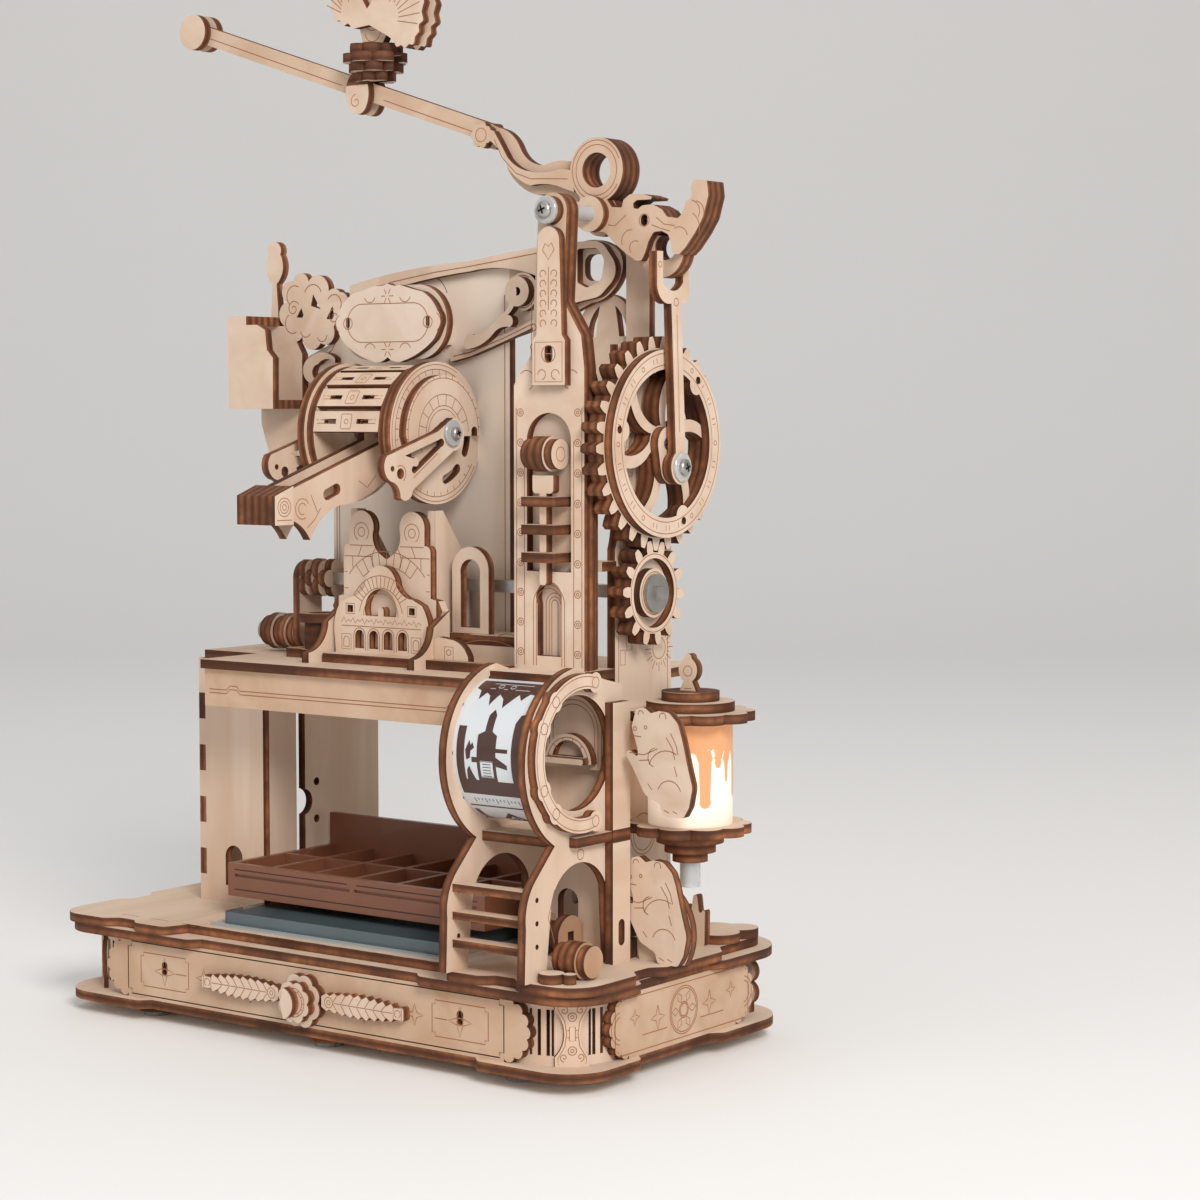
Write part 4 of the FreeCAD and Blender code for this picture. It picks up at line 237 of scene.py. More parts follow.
wear(["base_bottom", "base_top", "deck_plate", "deck_overlays", "mid_deck"],
    ply_material("ply_flat", "z"))
# Darker, warmer tan for the base walls and fascia: partly painted shade, the tone of the shaded front
# panel warmed by light reflected off the table.
SHADED_TAN = (0.60, 0.425, 0.305, 1)
SHADED_TAN_WARM = (0.46, 0.28, 0.165, 1)
wear(["base_front_panel", "base_rear_panel", "fascia"],
    ply_material("ply_front", "y", "x", [], SHADED_TAN, SHADED_TAN_WARM))
wear(["back_board"], ply_material("ply_board", "y", "up", [], (0.84, 0.72, 0.61, 1),
    (0.72, 0.56, 0.43, 1)))
wear(["base_side_panels"], ply_material("ply_side", "x", "y", [], SHADED_TAN, SHADED_TAN_WARM))
wear(["stand_frames", "outer_walls", "drum_discs", "feed_arm"], ply_material("ply_cheek", "x", "up"))
wear(["big_gear", "gear_crank", "small_gear", "hand_crank", "connecting_rod", "crank_grip"],
    ply_material("ply_wheel", "x", "y"))
wear(["feet", "lamp_plates"], ply_material("ply_step", "z"))
wear(["beam", "left_finial", "pivot_discs", "bird", "deck_figure", "climbing_figure", "front_rosette",
    "tower_front"], ply_material("ply_cutout", "y"))
wear(["lever_core", "lever_sides"],
    ply_material("ply_lever", "y", "x", [], (0.62, 0.455, 0.34, 1), (0.50, 0.32, 0.205, 1)))


# Engraved lines on the base
# The laser scores the plates with thin brown lines: stars with tails and leaves on the front panel,
# and a medallion in a frame on each side panel. They lie a hair above the face that they mark.
def engraved_material(name="engraved", colour=ENGRAVED):
    """Scorched line: brown, uneven along its length."""
    material, nodes, link, shader = new_material(name)
    shader.inputs["Roughness"].default_value = 0.85
    shader.inputs["Specular IOR Level"].default_value = 0.1
    place = add_node(nodes, "TexCoord")
    soot = add_node(nodes, "TexNoise", {"Scale": 350, "Vector": place.outputs["Object"]})
    mix = add_node(nodes, "Mix",
        {"A": colour, "B": (min(1, colour[0] * 1.5), min(1, colour[1] * 1.7), min(1, colour[2] * 1.9),
        1), "Factor": soot.outputs["Fac"]}, data_type="RGBA")
    link(mix.outputs["Result"], shader.inputs["Base Color"])
    return material


SCORED = engraved_material()
LIFT = 0.03


def on_face(plane, level):
    def place(u, v):
        spot = {"xy": (u, v, level), "xz": (u, level, v), "yz": (level, u, v)}[plane]
        return Vector(spot) * MM
    return place


def polar(x, y, r, a):
    """Point at a distance and an angle, in radians, from a centre."""
    return (x + r * math.cos(a), y + r * math.sin(a))


def arc(x, y, r, start=0, end=360, steps=0):
    """Arc as a list of points, angles in degrees."""
    count = steps or max(6, int(abs(end - start) * max(r, 2) / 60))
    points = []
    for i in range(count + 1):
        a = math.radians(start + (end - start) * i / count)
        points.append(polar(x, y, r, a))
    return points


def flipped(strokes, middle=0.0):
    """The strokes together with their mirror image about a vertical line."""
    return list(strokes) + [[(2 * middle - u, v) for u, v in stroke] for stroke in strokes]


def moved(strokes, du, dv):
    """The strokes shifted by an amount."""
    return [[(u + du, v + dv) for u, v in stroke] for stroke in strokes]


def petals(x, y, inner, outer, count, turn=0.0, bulge=0.25):
    """Ring of pointed petals, each one a closed stroke."""
    strokes = []
    for i in range(count):
        a = math.radians(turn + 360 * i / count)
        side = math.pi / count * bulge * 2
        middle = (inner + outer) / 2
        strokes.append([polar(x, y, inner, a),
            (x + middle * math.cos(a + side), y + middle * math.sin(a + side)), polar(x, y, outer, a),
            (x + middle * math.cos(a - side), y + middle * math.sin(a - side)), polar(x, y, inner, a)])
    return strokes


def spiral(x, y, r, turns, start=0, way=1):
    """Scroll that winds inwards."""
    points = []
    count = int(turns * 16)
    for i in range(count + 1):
        a = math.radians(start) + way * 2 * math.pi * turns * i / count
        reach = r * (1 - 0.85 * i / count)
        points.append(polar(x, y, reach, a))
    return points


def rays(x, y, inner, outer, start, end, count):
    """Short straight strokes round a centre."""
    strokes = []
    for i in range(count):
        a = math.radians(start + (end - start) * i / max(1, count - 1))
        strokes.append([polar(x, y, inner, a), polar(x, y, outer, a)])
    return strokes


def box_line(x0, y0, x1, y1, notch=0.0):
    """Rectangle, with notched corners where asked."""
    n = notch
    if not n:
        return [(x0, y0), (x1, y0), (x1, y1), (x0, y1), (x0, y0)]
    return [(x0 + n, y0), (x1 - n, y0), (x1 - n, y0 + n), (x1, y0 + n), (x1, y1 - n), (x1 - n, y1 - n),
        (x1 - n, y1), (x0 + n, y1), (x0 + n, y1 - n), (x0, y1 - n), (x0, y0 + n), (x0 + n, y0 + n),
        (x0 + n, y0)]


def engrave(name, body, place, strokes, width=0.34, material=SCORED):
    """One piece made of thin ribbons that follow the strokes of a drawing."""
    mesh = bpy.data.meshes.new(name)
    drawing = bmesh.new()
    for stroke in strokes:
        closed = stroke[0] == stroke[-1]
        count = len(stroke)
        rims = []
        for i in range(count):
            before = stroke[i - 1] if i else (stroke[-2] if closed else stroke[0])
            after = stroke[i + 1] if i < count - 1 else (stroke[1] if closed else stroke[-1])
            way = Vector((after[0] - before[0], after[1] - before[1]))
            if way.length < 1e-6:
                way = Vector((1, 0))
            side = Vector((-way.y, way.x)).normalized() * width * 0.5
            u, v = stroke[i]
            rims.append((drawing.verts.new(place(u + side.x, v + side.y)),
                drawing.verts.new(place(u - side.x, v - side.y))))
        for a, b in zip(rims, rims[1:]):
            drawing.faces.new((a[0], b[0], b[1], a[1]))
    drawing.to_mesh(mesh)
    return ridden(name, mesh, material, body)


def star(x, y, r):
    """Four-pointed star with hollow sides."""
    points = []
    for i in range(9):
        a = math.radians(45 * i + 90)
        reach = r if i % 2 == 0 else r * 0.34
        points.append(polar(x, y, reach, a))
    return points


wall_low, wall_high = [v.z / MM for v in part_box("base_front_panel")]
middle_z = (wall_low + wall_high) / 2
panel = [box_line(-80, wall_low + 1.2, 80, wall_high - 1.2, 1.6),
    box_line(-74, middle_z - 5.6, -52, middle_z + 5.6, 1.2), star(-63, middle_z, 4.6),
    arc(-63, middle_z, 1.2), [(-58, middle_z), (-53, middle_z)], star(-45, middle_z, 3.4)]
for i in range(5):
    lean = 30 * i
    panel.append(arc(-28 + 2.6 * math.cos(math.radians(lean)),
        middle_z - 4 + 5 * math.sin(math.radians(lean)), 1.5, lean - 60, lean + 60))
front_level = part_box("base_front_panel")[0].y / MM - LIFT
engrave("front_panel_lines", "frame", on_face("xz", front_level), flipped(panel))
side_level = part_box("base_side_panels")[1].x / MM + LIFT
medallion = [arc(0, middle_z, r) for r in (2.0, 2.5, 6.8, 7.5)] + petals(0, middle_z, 2.8, 6.5, 6)
side_lines = flipped([star(-14, middle_z, 3.8), star(-26, middle_z + 2, 2.6),
    [(-22, middle_z - 4), (-9, middle_z - 4)], arc(-33, middle_z, 5, 100, 260),
    arc(-33, middle_z, 3.6, 100, 260)]) + medallion + [box_line(-36, wall_low + 1.5, 36, wall_high - 1.5,
    1.5)]
engrave("side_panel_lines", "frame", on_face("yz", side_level), side_lines)
engrave("side_panel_lines_left", "frame", on_face("yz", -side_level), side_lines)


# Base corners and front ornaments
# The walls are kerf-bent round the two front corners, and an engraved hourglass plate follows each bend.
# Carved feather arms lie beside the turning rosette; the puffs at the deck's corners are plain discs.
def bent_material(name, centre, kept, folded=False, flat_within=0.0, grain="up"):
    """Ply bent round an axis: pale where it faces to or from the axis, burnt on its other sides."""
    material = ply_material(name, "y", grain)
    nodes = material.node_tree.nodes
    link = material.node_tree.links.new
    place = add_node(nodes, "TexCoord")
    split = add_node(nodes, "SeparateXYZ", {0: place.outputs["Object"]})
    sign = add_node(nodes, "Math", {0: split.outputs["X"]}, operation="SIGN")
    mirror = add_node(nodes, "CombineXYZ")
    for i in range(3):
        mirror.inputs[i].default_value = 1
    if folded:
        link(sign.outputs[0], mirror.inputs[0])
    vectors = []
    for source in ("Object", "Normal"):
        folding = add_node(nodes, "VectorMath", {0: place.outputs[source], 1: mirror.outputs[0]},
            operation="MULTIPLY")
        vectors.append(folding.outputs[0])
    away = add_node(nodes, "VectorMath", {1: [c * MM for c in centre], 0: vectors[0]},
        operation="SUBTRACT")
    level = add_node(nodes, "VectorMath", {1: kept, 0: away.outputs[0]}, operation="MULTIPLY")
    unit = add_node(nodes, "VectorMath", {0: level.outputs[0]}, operation="NORMALIZE")
    dot = add_node(nodes, "VectorMath", {0: unit.outputs[0], 1: vectors[1]}, operation="DOT_PRODUCT")
    size = add_node(nodes, "Math", {0: dot.outputs["Value"]}, operation="ABSOLUTE")
    mask = add_node(nodes, "MapRange", {"From Min": 0.82, "From Max": 0.68, "Value": size.outputs[0]})
    edge = [node for node in nodes if node.type == "GROUP" and node.node_tree == BURNT][0]
    colour = [node for node in nodes if node.type == "MIX"][0]
    width = add_node(nodes, "Math", {0: split.outputs["X"]}, operation="ABSOLUTE")
    near = add_node(nodes, "Math", {1: flat_within * MM, 0: width.outputs[0]}, operation="LESS_THAN")
    choice = add_node(nodes, "Mix",
        {"Factor": near.outputs[0], "A": mask.outputs["Result"], "B": edge.outputs["Mask"]})
    link(choice.outputs["Result"], colour.inputs["Factor"])
    return material


BEND_X = 86.5
BEND_Y = -34.0
BEND_R = 18.0
wear(["corner_walls"], bent_material("ply_bend", (BEND_X, BEND_Y, 0), (1, 1, 0), True))
wear(["base_ornaments"], bent_material("ply_ornament", (BEND_X, BEND_Y, 0), (1, 1, 0), True, 60))


def on_bend(side, r):
    """Function that puts a point on the bent wall: u round it from the corner's middle, v up it."""
    def place(u, v):
        a = math.radians(-45) + u / r
        return Vector((side * (BEND_X + r * math.cos(a)), BEND_Y + r * math.sin(a), v)) * MM
    return place


glass = [(4.3, 8.4), (4.3, 10.2), (2.3, 13.6), (1.7, middle_z), (2.3, 21.4), (4.3, 24.8), (4.3, 26.6)]
glass += [(-u, v) for u, v in reversed(glass)]
glass.append(glass[0])
corner_lines = [glass, box_line(-0.9, 15.4, 0.9, 19.6), arc(0, 22.6, 1.3), arc(0, 12.4, 1.3),
    arc(0, 22.6, 0.5), arc(0, 12.4, 0.5)]
corner_lines += flipped([spiral(2.5, 24.6, 1.3, 1.2, 90), spiral(2.5, 10.4, 1.3, 1.2, 270),
    [(0.9, 16.4), (1.5, 16.4)], [(0.9, 18.6), (1.5, 18.6)]])
KERF_SHADOW = engraved_material("kerf_shadow", (0.030, 0.012, 0.007, 1))
for side, word in ((1, "right"), (-1, "left")):
    engrave(f"corner_lines_{word}", "frame", on_bend(side, BEND_R + 1.5 + LIFT), corner_lines, 0.26)
    slits = []
    for degrees in (18, 40.5, 49.5):
        slits.append([(BEND_R * math.radians(degrees), wall_low + 3),
            (BEND_R * math.radians(degrees), wall_high - 3)])
    engrave(f"corner_slits_{word}", "frame", on_bend(side, BEND_R + LIFT), flipped(slits[:2]), 0.8,
        KERF_SHADOW)
arm_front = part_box("base_ornaments")[0].y / MM - LIFT
arm_middle = 17.5
feather = [arc(12.2, arm_middle, 1.7), arc(12.2, arm_middle, 0.7),
    [(14.4, arm_middle), (38.5, arm_middle)]]
for i in range(2, 9):
    x = 9.0 + 3.33 * i
    swell = 2.0 + 1.2 * math.sin(math.pi * (i + 0.5) / 9)
    feather += [[(x - 1.6, arm_middle + 0.3), (x + 0.4, arm_middle + swell)],
        [(x - 1.6, arm_middle - 0.3), (x + 0.4, arm_middle - swell)]]
feather += [arc(40.6, arm_middle, 1.2, -70, 250),
    box_line(38.9, arm_middle - 1.9, 42.2, arm_middle + 1.9)]
engrave("feather_arm_lines", "frame", on_face("xz", arm_front), flipped(feather), 0.26)
rosette_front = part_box("front_rosette")[0].y / MM + PLY - LIFT
rosette_lines = [arc(0, 16.5, 4.6), arc(0, 16.5, 3.7)] + rays(0, 16.5, 3.7, 4.6, 0, 330, 12)
engrave("rosette_lines", "front_key", on_face("xz", rosette_front), rosette_lines, 0.26)


# Stage: fascia, facade and ledge
# A plate over the bay carries a small toothed-roof facade of two plies with side walls behind it.
# Brick courses, arches and a wavy frieze are scored on it; the fascia below has a double line.
wear(["facade"], ply_material("ply_facade", "y", "up",
    [("x", [("x", -25, -20.9), ("y", -40, -12)]), ("x", [("x", 20.9, 24.1), ("y", -40, -12)]),
    ("x", [("y", -11.9, 9)]), ("z", [("x", -20.1, 20.1), ("y", -26, -18.1), ("z", 120, 124)])]))
wear(["arch_ledge"], ply_material("ply_ledge", "y", "x", [("z", [("z", 127.8, 131.1)])]))
wear(["stage_props"], ply_material("ply_props", "z", "x", [], (0.46, 0.28, 0.17, 1),
    (0.36, 0.20, 0.115, 1)))
FASCIA_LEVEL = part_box("fascia")[0].y / MM - LIFT
fascia_low, fascia_high = [v.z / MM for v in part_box("fascia")]
fascia_lines = []
for low, high in ((fascia_low + 4.4, fascia_high - 4.6), (fascia_low + 5.6, fascia_high - 2.8)):
    fascia_lines.append([(-58, low), (-50, low), (-48.6, low + 1.4), (-45.4, low + 1.4), (-44, low),
        (44, low), (45.4, low + 1.4), (48.6, low + 1.4), (50, low), (58, low)])
engrave("fascia_lines", "frame", on_face("xz", FASCIA_LEVEL), fascia_lines)

stage_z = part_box("facade")[0].z / MM
front_wall = [[(-18, stage_z + 2.2), (-8, stage_z + 2.2)], [(-4, stage_z + 2.2), (10, stage_z + 2.2)],
    [(12, stage_z + 2.2), (18, stage_z + 2.2)], arc(0, stage_z + 15.5, 7.4, 0, 180),
    arc(0, stage_z + 15.5, 9.2, 8, 172), arc(0, stage_z + 15.5, 13.2, 28, 152)]
front_wall += rays(0, stage_z + 15.5, 9.2, 13.0, 30, 150, 15)
for x in (-9.2, -3.1, 3.1, 9.2):
    front_wall.append([(x - 2.5, stage_z + 4.1), (x - 2.5, stage_z + 8.9)]
        + arc(x, stage_z + 8.9, 2.5, 180, 0)[1:] + [(x + 2.5, stage_z + 4.1)])
for x in (-14.9, 14.9):
    niche = [(x - 1.2, stage_z + 5)] + arc(x, stage_z + 7.2, 1.2, 180, 0) + [(x + 1.2, stage_z + 5),
        (x - 1.2, stage_z + 5)]
    front_wall += [niche, box_line(x - 2.0, stage_z + 4.2, x + 2.0, stage_z + 9.2)]
for x in (-13.2, 13.2):
    front_wall.append(box_line(x - 1.8, stage_z + 15.9, x + 1.8, stage_z + 19.2))
frieze = []
for i in range(35):
    frieze.append((-17 + i, stage_z + 13.0 + (1.3 if i % 2 else 0) + 0.4 * math.sin(i * 1.7)))
front_wall += [frieze, [(-17, stage_z + 11.9), (17, stage_z + 11.9)]]
engrave("facade_front_lines", "frame", on_face("xz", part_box("facade")[0].y / MM + 11.7 - LIFT),
    front_wall, 0.28)
tower_wall = [arc(0, stage_z + 16, 20.5, 38, 142), arc(0, stage_z + 16, 15.6, 50, 130)] + rays(0,
    stage_z + 16, 15.6, 20.5, 50, 130, 9)
half_tower = [arc(10.8, stage_z + 42.6, 3.1, -60, 230), arc(10.8, stage_z + 42.6, 1.5),
    [(5.8, stage_z + 38.2), (15.8, stage_z + 38.2)], [(6.2, stage_z + 34.6), (18.2, stage_z + 34.6)],
    [(10.6, stage_z + 38.2), (12.2, stage_z + 34.6)], [(17.0, stage_z + 29.4), (18.2, stage_z + 29.4)],
    [(14.6, stage_z + 30.8), (14.6, stage_z + 34.6)], [(16.6, stage_z + 24), (18.3, stage_z + 24)],
    arc(0, stage_z + 33.4, 6.2, -20, 40)]
engrave("facade_tower_lines", "frame", on_face("xz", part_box("facade")[0].y / MM + 14.7 - LIFT),
    tower_wall + flipped(half_tower), 0.28)
wing_lines = [box_line(28.4, stage_z + 2.6, 32, stage_z + 7.2), arc(30.2, stage_z + 5.4, 0.9)]
engrave("facade_wing_lines", "frame", on_face("xz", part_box("facade")[0].y / MM + 9.7 - LIFT), wing_lines,
    0.28)
ledge_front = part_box("arch_ledge")[0].y / MM - LIFT
ledge_lines = [arc(38, stage_z - 24, 33, 62, 118), [(26, stage_z + 1.6), (50, stage_z + 1.6)],
    [(50.4, stage_z + 1.6), (50.4, stage_z + 6.4)], arc(46, stage_z + 4, 7.5, 20, 120)]
engrave("ledge_lines", "frame", on_face("xz", ledge_front), ledge_lines, 0.28)


# Back board, cloud, beam and sign
# The tall rear sheet carries the arched beam to the right column; its cloud has scored waves.
# The sign over the drum is an oval of two plies; only its border is scored and its face stays bare.
wear(["sign"], ply_material("ply_sign", "y", "x", [("x", [("y", -8, 9)])], (0.70, 0.58, 0.48, 1),
    (0.58, 0.43, 0.32, 1)))
sign_low, sign_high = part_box("sign")
sign_mid = (sign_low.z + sign_high.z) / 2 / MM
sign_front = sign_low.y / MM - LIFT
oval = arc(11.0, sign_mid, 6.2, -90, 90) + arc(-11.0, sign_mid, 6.2, 90, 270)
oval.append(oval[0])
sign_lines = [oval] + rays(0, sign_mid + 8.6, 0.8, 2.6, 0, 300, 6) + rays(0, sign_mid - 8.6, 0.8, 2.6, 0,
    300, 6)
sign_lines += flipped([arc(17, sign_mid, 1.9), arc(7.5, sign_mid + 9, 2.4, 200, 340),
    arc(7.5, sign_mid - 9, 2.4, 20, 160), arc(19.2, sign_mid, 3.2, -60, 60)])
engrave("sign_border", "frame", on_face("xz", sign_front), sign_lines, 0.30)
beam_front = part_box("beam")[0].y / MM - LIFT
rear_front = beam_front + PLY
beam_lines = [[(-32, 241.4), (-14, 245.3), (4, 247.9), (19, 249.4)],
    [(19, 249.4), (34, 251.2), (47, 252.8), (60, 253.4)],
    [(12, 220.4), (19, 221.6), (33, 226), (47, 231.2), (58, 235.4)], arc(40.7, 240.7, 5.2, 60, 360)]
engrave("beam_lines", "frame", on_face("xz", rear_front), beam_lines)
cloud_lines = [arc(-40, 238.6, 3.2, -30, 150), arc(-49.6, 241.4, 4.0, 20, 160),
    arc(-58, 241.6, 3.6, 60, 230), arc(-59, 232.4, 3.4, 120, 300), arc(-53, 230, 2.4, 190, 330),
    arc(-45.6, 228.2, 2.2, 200, 360), spiral(-40, 234.4, 2.6, 1.4, 90),
    spiral(-58.6, 237.4, 2.8, 1.4, 30)]
engrave("cloud_lines", "frame", on_face("xz", rear_front), cloud_lines)
board_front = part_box("back_board")[0].y / MM - LIFT
board_lines = [[(-42, 126), (-42, 172)], [(-40.8, 126), (-40.8, 172)], [(31, 126), (31, 240)],
    [(-58, 190), (-58, 216), (-44, 223), (-37, 233)], arc(-2, 238, 9.5, 20, 160),
    arc(-22, 231, 7, 30, 190)]
engrave("board_lines", "frame", on_face("xz", board_front), board_lines)


# Right tower and column
# Four layers of ply rise over the stand's ring and carry the lever's pivot.
# Rows of double circles, a doorway of nested arches and a scored spire decorate the front.
wear(["tower_panel"], ply_material("ply_tower", "y", "up",
    [("z", [("x", 60, 90), ("y", -17, -5), ("z", 150, 158)]),
    ("z", [("x", 60, 90), ("y", -17, -5), ("z", 200, 210)])]))
tower_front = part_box("tower_front")[0].y / MM
TOWER_MIDDLE = 75.0
low_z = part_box("tower_front")[0].z / MM
dots = []
for i in range(9):
    for x in (-11, 11):
        z = low_z + 5 + 9.2 * i
        dots += [arc(TOWER_MIDDLE + x, z, 1.15), arc(TOWER_MIDDLE + x, z, 0.45)]
borders = flipped([[(TOWER_MIDDLE + 9.5, low_z + 1), (TOWER_MIDDLE + 9.5, low_z + 70)],
    [(TOWER_MIDDLE + 12.6, low_z + 1), (TOWER_MIDDLE + 12.6, low_z + 80)]], TOWER_MIDDLE)
arches = []
for r in (4.9, 6.0):
    arches.append([(TOWER_MIDDLE - r, low_z + 1)] + arc(TOWER_MIDDLE, low_z + 20, r, 180, 0)
        + [(TOWER_MIDDLE + r, low_z + 1)])
shoulder = flipped([arc(83.6, 212, 3.0, 40, 250), [(81.8, 218), (81.4, 236)], arc(81.0, 222, 1.0),
    arc(80.8, 228, 1.0)], TOWER_MIDDLE)
engrave("tower_lines", "frame", on_face("xz", tower_front + PLY - LIFT),
    dots + borders + arches + shoulder, 0.28)
inner_door = []
for r in (1.2, 2.2, 3.3):
    inner_door.append([(TOWER_MIDDLE - r, low_z + 1)] + arc(TOWER_MIDDLE, low_z + 20, r, 180, 0)
        + [(TOWER_MIDDLE + r, low_z + 1)])
engrave("doorway_lines", "frame", on_face("xz", tower_front + 2 * PLY - LIFT), inner_door, 0.28)
spire_x = 77.2
spire_lines = [[(spire_x, 233), (spire_x, 246)], box_line(spire_x - 5.2, 211.4, spire_x + 5.2, 223.4),
    [(spire_x - 1.4, 219.9), (spire_x + 1.4, 219.9)], arc(spire_x, 219.8, 2.6, 0, 360)]
heart = [(spire_x, 248.2), (spire_x - 2.2, 251.2), (spire_x - 1.2, 253.2), (spire_x, 252.2),
    (spire_x + 1.2, 253.2), (spire_x + 2.2, 251.2), (spire_x, 248.2)]
spire_lines.append(heart)
hooks = []
for i in range(6):
    z = 229 + 3.0 * i
    hooks.append(arc(spire_x + 2.1, z, 1.1, -60, 200))
spire_lines += flipped(hooks + [arc(spire_x + 2.6, 213.6, 1.5, 0, 270)], spire_x)
engrave("spire_lines", "frame", on_face("xz", tower_front - LIFT), spire_lines, 0.28)
column_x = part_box("outer_walls")[1].x / MM + LIFT
bricks = []
for i in range(9):
    z = 124 + 9 * i
    bricks.append(box_line(-6.8, z, -4.2, z + 4.6))
    bricks.append(box_line(-3.4, z + 4.4, -0.6, z + 8.6))
column_rays = [arc(14, 128, 3.4)] + rays(14, 128, 4.4, 7.4, 0, 330, 12) + rays(14, 128, 4.6, 5.6, 15,
    345, 12)
engrave("column_side_lines", "frame", on_face("yz", column_x),
    bricks + column_rays + [[(-7.6, 36), (-7.6, 158)], [(18.6, 36), (18.6, 158)], arc(5.5, 70, 6.5),
    arc(5.5, 70, 5.2)], 0.28)


# Stand at the right front
# Two figure-of-eight frames hold a printed film in their ring; under it are three rungs and an arch.
# The right frame carries a raised band and a plaque with nested ovals; small shelves tie it to the column.
wear(["stand_overlays"], ply_material("ply_band", "x", "up", [("y", [("x", 60, 92), ("z", 60, 125)])]))
wear(["stand_shelves"],
    ply_material("ply_shelf", "z", "x",
    [("x", [("x", 92.9, 97), ("z", 33, 71)]), ("x", [("x", 92.9, 97), ("z", 75, 116)])]))
wear(["stand_rollers"],
    ply_material("ply_roller", "x", "up", [], (0.50, 0.31, 0.19, 1), (0.36, 0.20, 0.115, 1)))
wear(["bay_walls"], ply_material("ply_bay", "x", "up", [("y", [("y", -12.6, -9.45)])]))


# Brayer on the tower
# A little ink roller of four discs in a fork hangs on the tower's front, held by three clip plates.
wear(["brayer"], ply_material("ply_brayer", "y", "up",
    [("x", [("z", 183.5, 195.5), ("y", -34, -23.4)])]
    + [("z", [("z", z, z + 3.2), ("y", -33, -22)]) for z in (156.4, 164.9, 173.4)]))
engrave("brayer_lines", "frame", on_face("yz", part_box("brayer")[1].x / MM - 0.5 + LIFT),
    [arc(-28, 189.5, 2.2)], 0.26)


def plain_material(name, colour, roughness=0.5, coat=0.0, specular=0.5, mottle=0.12, scale=60):
    """Plain finish with a slight cloud in its colour and gloss."""
    material, nodes, link, shader = new_material(name)
    shader.inputs["Coat Weight"].default_value = coat
    shader.inputs["Specular IOR Level"].default_value = specular
    place = add_node(nodes, "TexCoord")
    cloud = add_node(nodes, "TexNoise", {"Scale": scale, "Detail": 4, "Vector": place.outputs["Object"]})
    mix = add_node(nodes, "Mix",
        {"A": [c * (1 - mottle) for c in colour[:3]] + [1],
        "B": [min(1, c * (1 + mottle)) for c in colour[:3]] + [1], "Factor": cloud.outputs["Fac"]},
        data_type="RGBA")
    link(mix.outputs["Result"], shader.inputs["Base Color"])
    gloss = add_node(nodes, "MapRange",
        {"To Min": max(0.02, roughness - 0.06), "To Max": roughness + 0.06,
        "Value": cloud.outputs["Fac"]})
    link(gloss.outputs["Result"], shader.inputs["Roughness"])
    return material


def fill(name, body, place, loops, material, step=0.5):
    """Flat or bent patch that fills closed outlines, cut into narrow strips so that it follows a curve."""
    edges = []
    for loop in loops:
        for a, b in zip(loop, loop[1:] + loop[:1]):
            if abs(a[1] - b[1]) > 1e-9:
                edges.append((a, b) if a[1] < b[1] else (b, a))
    stops = {point[1] for loop in loops for point in loop}
    low, high = min(stops), max(stops)
    for i in range(int((high - low) / step) + 1):
        stops.add(low + i * step)
    stops = sorted(stops)
    mesh = bpy.data.meshes.new(name)
    patch = bmesh.new()
    for v0, v1 in zip(stops, stops[1:]):
        if v1 - v0 < 1e-4:
            continue
        rows = []
        for v in (v0 + (v1 - v0) * 1e-3, v1 - (v1 - v0) * 1e-3):
            row = [a[0] + (b[0] - a[0]) * (v - a[1]) / (b[1] - a[1]) for a, b in edges if a[1] < v < b[1]]
            rows.append(sorted(row))
        if len(rows[0]) != len(rows[1]):
            continue
        for k in range(0, len(rows[0]) - 1, 2):
            l0, r0 = rows[0][k], rows[0][k + 1]
            l1, r1 = rows[1][k], rows[1][k + 1]
            parts = max(1, math.ceil(max(r0 - l0, r1 - l1) / (step * 3)))
            for n in range(parts):
                f0, f1 = n / parts, (n + 1) / parts
                corners = [place(l0 + (r0 - l0) * f0, v0), place(l0 + (r0 - l0) * f1, v0),
                    place(l1 + (r1 - l1) * f1, v1), place(l1 + (r1 - l1) * f0, v1)]
                patch.faces.new([patch.verts.new(corner) for corner in corners])
    bmesh.ops.remove_doubles(patch, verts=patch.verts, dist=2e-6)
    patch.to_mesh(mesh)
    return ridden(name, mesh, material, body)


# Printed film in the stand's ring
# A stiff white film is bent into the ring. Its brown print keeps the photographed one's motifs and
# layout: banner, frame, press, small figure, stool, hatched panel and rule. Only the lines on the
# banner, the ticks, and the diamond with its arrow are the builder's own.
FILM_WHITE = plain_material("film_white", (0.62, 0.655, 0.68), 0.34, 0.15, 0.5, 0.03)
FILM_BROWN = plain_material("film_brown", (0.060, 0.022, 0.016), 0.38, 0.1, 0.5, 0.10)
wear(["stand_film"], FILM_WHITE)
film_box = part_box("stand_film")
FILM_LEFT = film_box[0].x / MM
RING_MID_Y = -36.0
RING_MID_Z = 100.0
film_r = RING_MID_Y - film_box[0].y / MM + LIFT


def on_film(u, v):
    """Point of the print on the bent film: u from its left edge, v along it from the ring's left side."""
    a = math.pi - v / film_r
    return Vector((FILM_LEFT + u, RING_MID_Y + film_r * math.cos(a),
        RING_MID_Z + film_r * math.sin(a))) * MM


